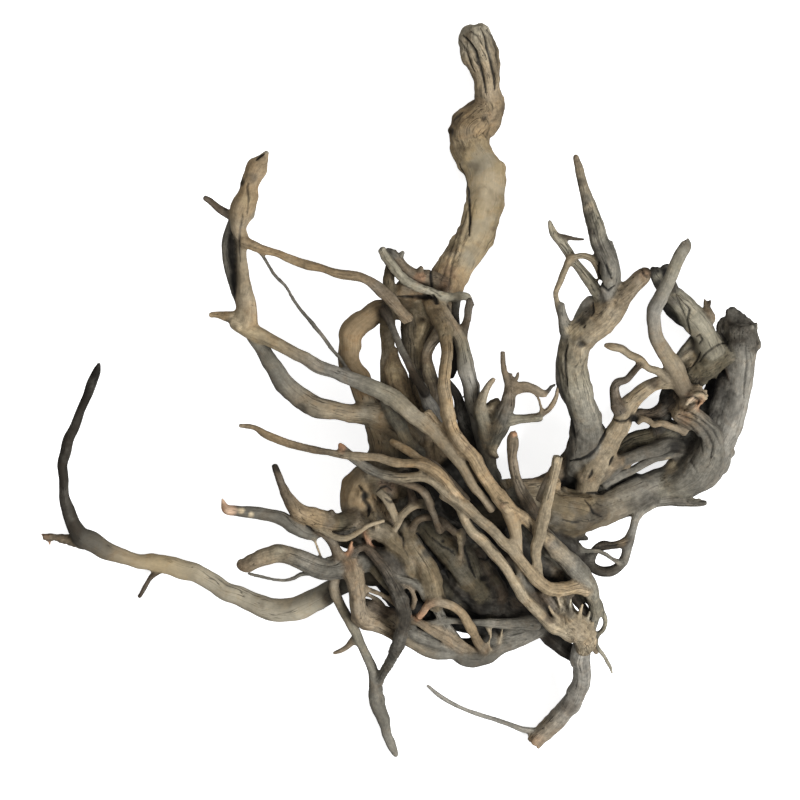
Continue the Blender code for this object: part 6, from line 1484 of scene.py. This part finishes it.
def neighbour_mean(values, edges):
    """The mean of each vertex's neighbours."""
    count = len(values)
    degree = np.bincount(edges.ravel(), minlength=count)
    columns = []
    for column in values.reshape(count, -1).T:
        total = np.bincount(edges[:, 0], weights=column[edges[:, 1]], minlength=count)
        total += np.bincount(edges[:, 1], weights=column[edges[:, 0]], minlength=count)
        columns.append(total / np.maximum(degree, 1))
    return np.column_stack(columns).reshape(values.shape)


def evened(values, edges, rounds):
    """The values after some rounds in which each vertex takes the mean of its neighbours."""
    for _ in range(rounds):
        values = neighbour_mean(values, edges)
    return values


def vertex_normals(verts, quads):
    """Unit normals that point out of the wood."""
    across = verts[quads[:, 2]] - verts[quads[:, 0]]
    other = verts[quads[:, 3]] - verts[quads[:, 1]]
    facing = np.cross(across, other)
    normals = np.zeros_like(verts)
    for corner in range(4):
        for axis in range(3):
            normals[:, axis] += np.bincount(quads[:, corner], weights=facing[:, axis], minlength=len(verts))
    return normals / np.maximum(np.linalg.norm(normals, axis=1), 1e-12)[:, None]


def nearest_rings(verts, gathered):
    """For each skin vertex, the ring of the limb that it came from."""
    tree = kdtree.KDTree(len(gathered["verts"]))
    for index, spot in enumerate(gathered["verts"].tolist()):
        tree.insert(spot, index)
    tree.balance()
    find = tree.find
    nearest = np.array([find(spot)[1] for spot in verts.tolist()])
    return gathered["ring"][nearest]


def round_joins(verts, quads, edges, half):
    """Smooth away the voxel steps, and fill the creases where limbs join; thin limbs are spared."""
    spared = np.clip((half - 0.0016) / 0.004, 0.0, 1.0)
    for _ in range(VOXEL_ROUNDS):
        pull = neighbour_mean(verts, edges) - verts
        verts = verts + pull * 0.55
    for _ in range(JOIN_ROUNDS):
        normals = vertex_normals(verts, quads)
        pull = neighbour_mean(verts, edges) - verts
        outward = np.einsum("ij,ij->i", pull, normals)
        share = np.clip(outward / 0.00012, 0.0, 1.0) * (0.25 + 0.75 * spared)
        verts = verts + pull * (0.7 * share)[:, None]
    return verts


def grain_coordinates(verts, ring, gathered):
    """Each spot's place in its limb: two ways across the grain, and the distance along it."""
    offset = verts - gathered["centre"][ring]
    across = np.einsum("ij,ij->i", offset, gathered["side"][ring])
    other = np.einsum("ij,ij->i", offset, gathered["up"][ring])
    along = gathered["along"][ring] + np.einsum("ij,ij->i", offset, gathered["ahead"][ring])
    limb = gathered["limb"][ring]
    return np.column_stack([across + limb * 0.37, other + limb * 0.13, along + limb * 0.71])


def smooth_share(verts, limb, names, edges):
    """How smooth and worn the wood is at each vertex, 0 to 1."""
    smooth = np.array([SMOOTH_LIMBS.get(name, 0.0) for name in names])[limb]
    smooth = evened(smooth, edges, FINISH_ROUNDS)
    plan = plan_of(verts)
    for across, down, low, high, reach, share in SMOOTH_PLACES:
        distance = np.hypot(plan[:, 0] - across, plan[:, 1] - down) / reach
        near = np.clip(1.8 - 1.6 * distance, 0.0, 1.0) * ((plan[:, 2] > low) & (plan[:, 2] < high))
        smooth = np.maximum(smooth, near * share)
    return smooth


def relief_height(verts, grain, half, rough, smooth):
    """Fine relief along the grain, in metres: ribs, open cracks and small lumps."""
    stretched = grain * (1.0, 1.0, 0.07)
    thick = np.clip(half / 0.011, 0.22, 1.0)
    ribs = noise(stretched * 330.0, 21) * 0.00013
    fine = noise(stretched * 640.0, 22) * 0.0001
    wander = noise(grain * (170.0, 170.0, 14.0), 23)
    cracks = np.clip(1.0 - np.abs(wander) / 0.07, 0.0, 1.0)
    cracks *= np.clip(noise(grain * (60.0, 60.0, 12.0), 24) * 2.4 - 0.5 + rough, 0.0, 1.0)
    swell = noise(verts * 75.0, 25) * 0.1 * half + noise(verts * 190.0, 26) * 0.07 * half
    crumbs = noise(verts * 520.0, 27) * 0.0005 * rough
    coarse = (ribs + fine) * thick * (1.0 + 1.5 * rough) + crumbs - cracks * 0.0012 * thick
    return coarse * (1.0 - smooth) + swell * (1.0 - 0.6 * smooth)


def linear(colour):
    """Scene-linear colour from the screen colour 0 to 255."""
    shares = np.asarray(colour, dtype=float) / 255.0
    return np.where(shares <= 0.04045, shares / 12.92, ((shares + 0.055) / 1.055) ** 2.4)


def ring_tones(gathered, names):
    """The colour at each ring of each limb: the wood's own tones, with near-black painted shade on the cores
    and hollows deep in the tangle.
    """
    colours = np.empty((len(gathered["limb"]), 3))
    for index, name in enumerate(names):
        rings = gathered["limb"] == index
        along = gathered["along"][rings]
        run = TONE_RUNS.get(name, ((0.0, TONE_OF.get(name, "tan")),))
        shares = [share for share, _ in run]
        tones = np.array([linear(TONES[tone]) for _, tone in run])
        way = along / along[-1]
        colours[rings] = np.column_stack([np.interp(way, shares, tones[:, axis]) for axis in range(3)])
    return colours


def tinted(verts, ring, gathered, names, edges):
    """The colour at each vertex, from the limb's tone, the local stains and the painted shade and painted
    light among the marks.
    """
    colour = ring_tones(gathered, names)[ring]
    for _ in range(TONE_ROUNDS):
        colour = 0.4 * colour + 0.6 * neighbour_mean(colour, edges)
    plan = plan_of(verts)
    ragged = 1.0 + 0.4 * noise(verts * 120.0, 31) + 0.3 * noise(verts * 320.0, 32)
    for across, down, low, high, reach, _, tone, strength in MARKS:
        distance = np.hypot(plan[:, 0] - across, plan[:, 1] - down) / (reach * ragged)
        share = np.clip(1.7 - 1.6 * distance, 0.0, 1.0) * strength
        share *= (plan[:, 2] > low) & (plan[:, 2] < high)
        colour = colour + (linear(TONES[tone]) - colour) * share[:, None]
    return colour


def dense_line(points, step=0.5):
    """Points close together along a line given by a few, and each one's share of the way."""
    line = np.array(points, dtype=float)
    gaps = np.hypot(*np.diff(line, axis=0).T)
    along = np.concatenate([[0.0], np.cumsum(gaps)])
    stops = np.arange(0.0, along[-1], step)
    return np.column_stack([np.interp(stops, along, line[:, axis]) for axis in (0, 1)]), stops / along[-1]


def grooved(verts, normals):
    """Depth of the listed grooves, knots and pits at each vertex, in metres, and the painted shade in the
    grooves.
    """
    plan = plan_of(verts)
    depth = np.zeros(len(verts))
    dark = np.zeros(len(verts))
    facing = np.clip(normals[:, 2] * 2.0 + 0.6, 0.0, 1.0)
    for half_width, deep, groove_shade, low, high, points in GROOVES:
        line, share = dense_line(points)
        reach = half_width * 2.2
        near = (plan[:, 0] > line[:, 0].min() - reach) & (plan[:, 0] < line[:, 0].max() + reach)
        near &= (plan[:, 1] > line[:, 1].min() - reach) & (plan[:, 1] < line[:, 1].max() + reach)
        near &= (plan[:, 2] > low) & (plan[:, 2] < high)
        chosen = np.flatnonzero(near)
        if not len(chosen):
            continue
        gaps = np.hypot(*(plan[chosen, None, :2] - line[None, :, :]).transpose(2, 0, 1))
        closest = gaps.argmin(axis=1)
        taper = np.sin(np.pi * np.clip(share[closest], 0.04, 0.96)) ** 0.5
        profile = np.clip(1.0 - gaps.min(axis=1) / (half_width * 1.8 * taper + 0.2), 0.0, 1.0)
        profile = profile * profile * (3.0 - 2.0 * profile) * facing[chosen]
        depth[chosen] += deep * CELL * profile
        dark[chosen] = np.maximum(dark[chosen], groove_shade * np.clip(profile * 1.5, 0.0, 1.0))
    for across, down, low, high, reach, rise, _, _ in MARKS:
        if rise == 0.0:
            continue
        distance = np.hypot(plan[:, 0] - across, plan[:, 1] - down) / reach
        profile = np.clip(1.0 - distance, 0.0, 1.0) * facing * ((plan[:, 2] > low) & (plan[:, 2] < high))
        depth -= rise * CELL * profile * profile * (3.0 - 2.0 * profile)
    return depth, dark


def open_sky(verts, normals):
    """How much of the sky each vertex sees, 0 to 1, by the heights of the wood around it."""
    low = verts[:, :2].min(axis=0) - SKY_MARGIN
    high = verts[:, :2].max(axis=0) + SKY_MARGIN
    across, down = np.ceil((high - low) / SKY_CELL).astype(int) + 1

    def cell_of(plan):
        spots = ((plan - low) / SKY_CELL).astype(int)
        return spots[:, 0] * down + spots[:, 1]

    heights = np.zeros(across * down)
    np.maximum.at(heights, cell_of(verts[:, :2]), verts[:, 2])
    start = verts + normals * SKY_LIFT
    seen = np.zeros(len(verts))
    for way in range(SKY_WAYS):
        turn = 2 * math.pi * (way + 0.5) / SKY_WAYS
        look = np.array([math.cos(turn), math.sin(turn)])
        horizon = np.zeros(len(verts))
        for reach in SKY_REACHES:
            rise = heights[cell_of(start[:, :2] + reach * look)] - start[:, 2]
            horizon = np.maximum(horizon, rise / reach)
        seen += 1.0 / (1.0 + horizon * horizon)
    above = heights[cell_of(start[:, :2])] - start[:, 2]
    covered = np.clip((above - 0.003) / 0.004, 0.0, 1.0)
    return seen / SKY_WAYS * (1.0 - 0.65 * covered)


def cavity_of(verts, normals, edges):
    """How deep in a crease each vertex lies, from -1 on an edge to 1 in a crease."""
    bend = np.einsum("ij,ij->i", neighbour_mean(verts, edges) - verts, normals)
    for _ in range(2):
        bend = 0.5 * bend + 0.5 * neighbour_mean(bend, edges)
    return np.clip(bend / 0.00016, -1.0, 1.0)


def region_of(limb, names):
    """The number of the scene piece that each vertex belongs to."""
    numbers = []
    for name in names:
        numbers.append(next(index for index, group in enumerate(REGIONS.values()) if name in group))
    return np.array(numbers)[limb]


def finished_surface():
    """The wood's whole surface, and at each vertex its piece and what the material reads."""
    names = list(ROUTES)
    gathered = gathered_limbs(ROUTES)
    verts, quads = largest_body(*fused_skin(gathered))
    edges = edges_of(quads)
    ring = nearest_rings(verts, gathered)
    limb = gathered["limb"][ring]
    half = evened(gathered["half"][ring], edges, HALF_ROUNDS)
    verts = round_joins(verts, quads, edges, half)
    grain = grain_coordinates(verts, ring, gathered)
    rough = np.array([float(name in ROUGH_LIMBS) for name in names])[limb]
    rough = evened(rough, edges, FINISH_ROUNDS)
    smooth = smooth_share(verts, limb, names, edges)
    colour = tinted(verts, ring, gathered, names, edges)
    normals = vertex_normals(verts, quads)
    depth, dark = grooved(verts, normals)
    verts = verts + normals * (relief_height(verts, grain, half, rough, smooth) - depth)[:, None]
    verts[:, 2] = np.maximum(verts[:, 2], 0.0)
    normals = vertex_normals(verts, quads)
    sky = evened(open_sky(verts, normals), edges, SKY_ROUNDS)
    # Painted shade in the grooves.
    colour *= (1.0 - dark)[:, None]
    # Painted shade: the colour is darkened where the wood sees little sky, in hollows and under limbs.
    colour *= shade_of(sky)[:, None]
    return {
        "verts": verts,
        "quads": quads,
        "normals": normals,
        "region": region_of(limb, names),
        "grain": grain,
        # This colour layer holds the wood's own colour together with its painted shade and painted light.
        "tint_and_painted_light": np.column_stack([colour, np.ones(len(colour))]),
        "cavity": cavity_of(verts, normals, edges),
        "smooth": smooth,
    }


def shade_of(sky):
    """Painted shade: the share of its colour that the wood keeps, by the share of the sky that it sees."""
    open_share = np.clip((sky - SHADE_START) / SHADE_RANGE, 0.0, 1.0)
    return SHADE_LEAST + (1.0 - SHADE_LEAST) * open_share


def add_piece(name, chosen, surface, material):
    """One piece of the wood, made of the chosen quads of the whole surface."""
    used, corners = np.unique(chosen, return_inverse=True)
    mesh = mesh_from(name, surface["verts"][used], [corners.reshape(-1, 4)])
    add_layer(mesh, "grain", "FLOAT_VECTOR", "vector", surface["grain"][used])
    add_layer(mesh, "tint_and_painted_light", "FLOAT_COLOR", "color", surface["tint_and_painted_light"][used])
    add_layer(mesh, "cavity", "FLOAT", "value", surface["cavity"][used])
    add_layer(mesh, "smooth", "FLOAT", "value", surface["smooth"][used])
    mesh.polygons.foreach_set("use_smooth", np.ones(len(chosen), dtype=bool))
    mesh.normals_split_custom_set_from_vertices(surface["normals"][used].tolist())
    mesh.materials.append(material)
    piece = bpy.data.objects.new(name, mesh)
    bpy.context.scene.collection.objects.link(piece)
    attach(piece, "root")
    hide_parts("moor_root")
    print("piece", name, len(chosen) * 2, "triangles")


def build_wood(material):
    """The whole root as a few pieces of one fused surface."""
    surface = finished_surface()
    quads = surface["quads"]
    first_region = surface["region"][quads[:, 0]]
    for index, name in enumerate(REGIONS):
        add_piece(name, quads[first_region == index], surface, material)


def add_layer(mesh, name, kind, field, values):
    """One value for each vertex, for the material to read."""
    layer = mesh.attributes.new(name, kind, "POINT")
    layer.data.foreach_set(field, np.asarray(values, dtype=np.float32).ravel())


class Nodes:
    """Short ways to add and join the nodes of one material."""

    def __init__(self, material):
        self.tree = material.node_tree

    def add(self, kind, **settings):
        """A node with its settings; settings named after inputs set or join those inputs."""
        node = self.tree.nodes.new(kind)
        inputs = settings.pop("inputs", {})
        for name, value in settings.items():
            setattr(node, name, value)
        for name, value in inputs.items():
            socket = node.inputs[name]
            if isinstance(value, bpy.types.NodeSocket):
                self.tree.links.new(value, socket)
            else:
                socket.default_value = value
        return node

    def math(self, operation, first, second=0.0, third=0.0):
        """The result of one sum."""
        node = self.add("ShaderNodeMath", operation=operation)
        for socket, value in zip(node.inputs, (first, second, third)):
            if isinstance(value, bpy.types.NodeSocket):
                self.tree.links.new(value, socket)
            else:
                socket.default_value = value
        return node.outputs[0]

    def ramp(self, value, low, high, start=0.0, end=1.0):
        """The value's share of the way from low to high, smoothly, as start to end."""
        node = self.add("ShaderNodeMapRange", interpolation_type="SMOOTHSTEP")
        self.tree.links.new(value, node.inputs["Value"])
        node.inputs["From Min"].default_value = low
        node.inputs["From Max"].default_value = high
        node.inputs["To Min"].default_value = start
        node.inputs["To Max"].default_value = end
        return node.outputs["Result"]

    def mixed(self, share, first, second, blend="MIX"):
        """Two colours mixed."""
        node = self.add("ShaderNodeMix", data_type="RGBA", blend_type=blend)
        for socket, value in ((node.inputs[0], share), (node.inputs[6], first), (node.inputs[7], second)):
            if isinstance(value, bpy.types.NodeSocket):
                self.tree.links.new(value, socket)
            else:
                socket.default_value = value
        return node.outputs[2]

    def grain_noise(self, vector, scale, stretch, detail=4.0, rough=0.6, distortion=0.0):
        """Noise drawn out along the grain."""
        scales = (scale, scale, scale * stretch)
        mapping = self.add("ShaderNodeMapping", inputs={"Vector": vector, "Scale": scales})
        node = self.add(
            "ShaderNodeTexNoise",
            inputs={
                "Vector": mapping.outputs[0],
                "Scale": 1.0,
                "Detail": detail,
                "Roughness": rough,
                "Distortion": distortion,
            },
        )
        return node.outputs["Fac"]


def wood_material():
    """Weathered wood: streaked along the grain, blotched and cracked, with painted shade in its creases and
    a little lighter on its outer edges.
    """
    material = bpy.data.materials.new("moor_wood")
    material.use_nodes = True
    nodes = Nodes(material)
    shader = material.node_tree.nodes["Principled BSDF"]
    grain = nodes.add("ShaderNodeAttribute", attribute_name="grain").outputs["Vector"]
    tint_and_painted_light = nodes.add("ShaderNodeAttribute", attribute_name="tint_and_painted_light").outputs["Color"]
    cavity = nodes.add("ShaderNodeAttribute", attribute_name="cavity").outputs["Fac"]
    smooth = nodes.add("ShaderNodeAttribute", attribute_name="smooth").outputs["Fac"]
    place_in_root = nodes.add("ShaderNodeTexCoord").outputs["Object"]

    fibres = nodes.grain_noise(grain, 900.0, 0.035, detail=5.0, rough=0.7)
    streaks = nodes.grain_noise(grain, 210.0, 0.06, detail=4.0, rough=0.6)
    bands = nodes.grain_noise(grain, 60.0, 0.16, detail=3.0)
    cracks = nodes.grain_noise(grain, 260.0, 0.045, detail=2.0, rough=0.5, distortion=0.6)
    blotches = nodes.grain_noise(place_in_root, 38.0, 1.0, detail=4.0, rough=0.62)
    patches = nodes.grain_noise(place_in_root, 95.0, 1.0, detail=3.0, distortion=0.8)
    mottle = nodes.grain_noise(place_in_root, 330.0, 1.0, detail=3.0, rough=0.65)
    flecks = nodes.grain_noise(grain, 1400.0, 0.25, detail=2.0)

    crack_line = nodes.math("ABSOLUTE", nodes.math("SUBTRACT", cracks, 0.5))
    crack = nodes.ramp(crack_line, 0.0, 0.022, 1.0, 0.0)
    crack = nodes.math("MULTIPLY", crack, nodes.ramp(bands, 0.42, 0.62))

    light = nodes.math("MULTIPLY_ADD", nodes.ramp(fibres, 0.3, 0.7), 0.3, 0.84)
    for pattern, low, high, darkest, brightest in (
        (streaks, 0.3, 0.7, 0.84, 1.12),
        (bands, 0.3, 0.7, 0.84, 1.14),
        (blotches, 0.32, 0.68, 0.85, 1.14),
        (patches, 0.3, 0.7, 0.83, 1.15),
        (mottle, 0.32, 0.68, 0.8, 1.16),
        (flecks, 0.35, 0.65, 0.9, 1.08),
    ):
        light = nodes.math("MULTIPLY", light, nodes.ramp(pattern, low, high, darkest, brightest))
    even = nodes.math("SUBTRACT", 1.0, light)
    light = nodes.math("MULTIPLY_ADD", even, nodes.math("MULTIPLY", smooth, 0.8), light)
    # Painted shade in the creases, and the outer edges a little lighter.
    light = nodes.math("MULTIPLY", light, nodes.ramp(cavity, 0.0, 0.9, 1.0, 0.42))
    light = nodes.math("MULTIPLY", light, nodes.ramp(cavity, -0.9, -0.1, 1.12, 1.0))
    light = nodes.math("MULTIPLY", light, nodes.math("MULTIPLY_ADD", crack, -0.72, 1.0))

    warm = nodes.mixed(nodes.ramp(patches, 0.45, 0.75, 0.0, 0.4), tint_and_painted_light, (0.30, 0.2, 0.12, 1.0), "SOFT_LIGHT")
    grey = nodes.mixed(nodes.ramp(blotches, 0.45, 0.7, 0.0, 0.4), warm, (0.35, 0.335, 0.29, 1.0), "MIX")
    base = nodes.mixed(0.5, warm, grey)
    level = nodes.add("ShaderNodeCombineColor", inputs={"Red": light, "Green": light, "Blue": light})
    base = nodes.mixed(1.0, base, level.outputs[0], "MULTIPLY")
    material.node_tree.links.new(base, shader.inputs["Base Color"])

    rough = nodes.ramp(streaks, 0.3, 0.7, 0.92, 0.72)
    material.node_tree.links.new(rough, shader.inputs["Roughness"])
    shader.inputs["Specular IOR Level"].default_value = 0.28

    height = 0.0
    for pattern, rise in ((fibres, 0.35), (streaks, 0.5), (mottle, 0.35), (flecks, 0.12), (crack, -1.1)):
        height = nodes.math("MULTIPLY_ADD", pattern, rise, height)
    strength = nodes.math("MULTIPLY_ADD", smooth, -0.55, 0.75)
    bump = nodes.add("ShaderNodeBump", inputs={"Strength": strength, "Distance": 0.0011, "Height": height})
    material.node_tree.links.new(bump.outputs["Normal"], shader.inputs["Normal"])
    return material


def floor_piece():
    """A plain pale floor under the root."""
    mesh = bpy.data.meshes.new("floor")
    corners = [(-1, -1), (1, -1), (1, 1), (-1, 1)]
    mesh.from_pydata([(x * FLOOR_REACH, y * FLOOR_REACH, 0.0) for x, y in corners], [], [(0, 1, 2, 3)])
    material = bpy.data.materials.new("pale_floor")
    material.use_nodes = True
    shader = material.node_tree.nodes["Principled BSDF"]
    shader.inputs["Base Color"].default_value = (0.9, 0.9, 0.91, 1.0)
    shader.inputs["Roughness"].default_value = 0.9
    shader.inputs["Specular IOR Level"].default_value = 0.1
    shader.inputs["Emission Color"].default_value = (1.0, 1.0, 1.0, 1.0)
    shader.inputs["Emission Strength"].default_value = FLOOR_GLOW
    mesh.materials.append(material)
    floor = bpy.data.objects.new("floor", mesh)
    floor.location.z = -FLOOR_DROP
    floor.visible_diffuse = False
    floor.visible_glossy = False
    bpy.context.scene.collection.objects.link(floor)


def area_light(name, spot, size, power, colour):
    """A square softbox that faces the root."""
    light = bpy.data.lights.new(name, "AREA")
    light.shape = "SQUARE"
    light.size = size
    light.energy = power
    light.color = colour
    item = bpy.data.objects.new(name, light)
    item.location = spot
    item.rotation_euler = (Vector(LIGHT_TARGET) - Vector(spot)).to_track_quat("-Z", "Y").to_euler()
    bpy.context.scene.collection.objects.link(item)


def light_scene():
    """Soft studio light, strongest from the lower right of the picture."""
    world = bpy.data.worlds.new("studio")
    world.use_nodes = True
    background = world.node_tree.nodes["Background"]
    background.inputs["Color"].default_value = (1.0, 1.0, 1.0, 1.0)
    background.inputs["Strength"].default_value = WORLD_LIGHT
    bpy.context.scene.world = world
    area_light("key", KEY_PLACE, KEY_SIZE, KEY_POWER, KEY_COLOUR)
    area_light("fill", FILL_PLACE, FILL_SIZE, FILL_POWER, FILL_COLOUR)
    bpy.context.scene.view_settings.view_transform = "Standard"


def camera_above():
    """The camera looks straight down from high above the plan's middle."""
    camera = bpy.data.cameras.new("camera")
    camera.sensor_width = 36.0
    camera.lens = camera.sensor_width * EYE_HEIGHT / (PHOTO_CELLS * CELL)
    item = bpy.data.objects.new("camera", camera)
    item.location = (-ORIGIN_X, -ORIGIN_Y, EYE_HEIGHT - FLOOR_TRIM * CELL)
    bpy.context.scene.collection.objects.link(item)
    bpy.context.scene.camera = item


camera_above()
light_scene()
floor_piece()
build_wood(wood_material())
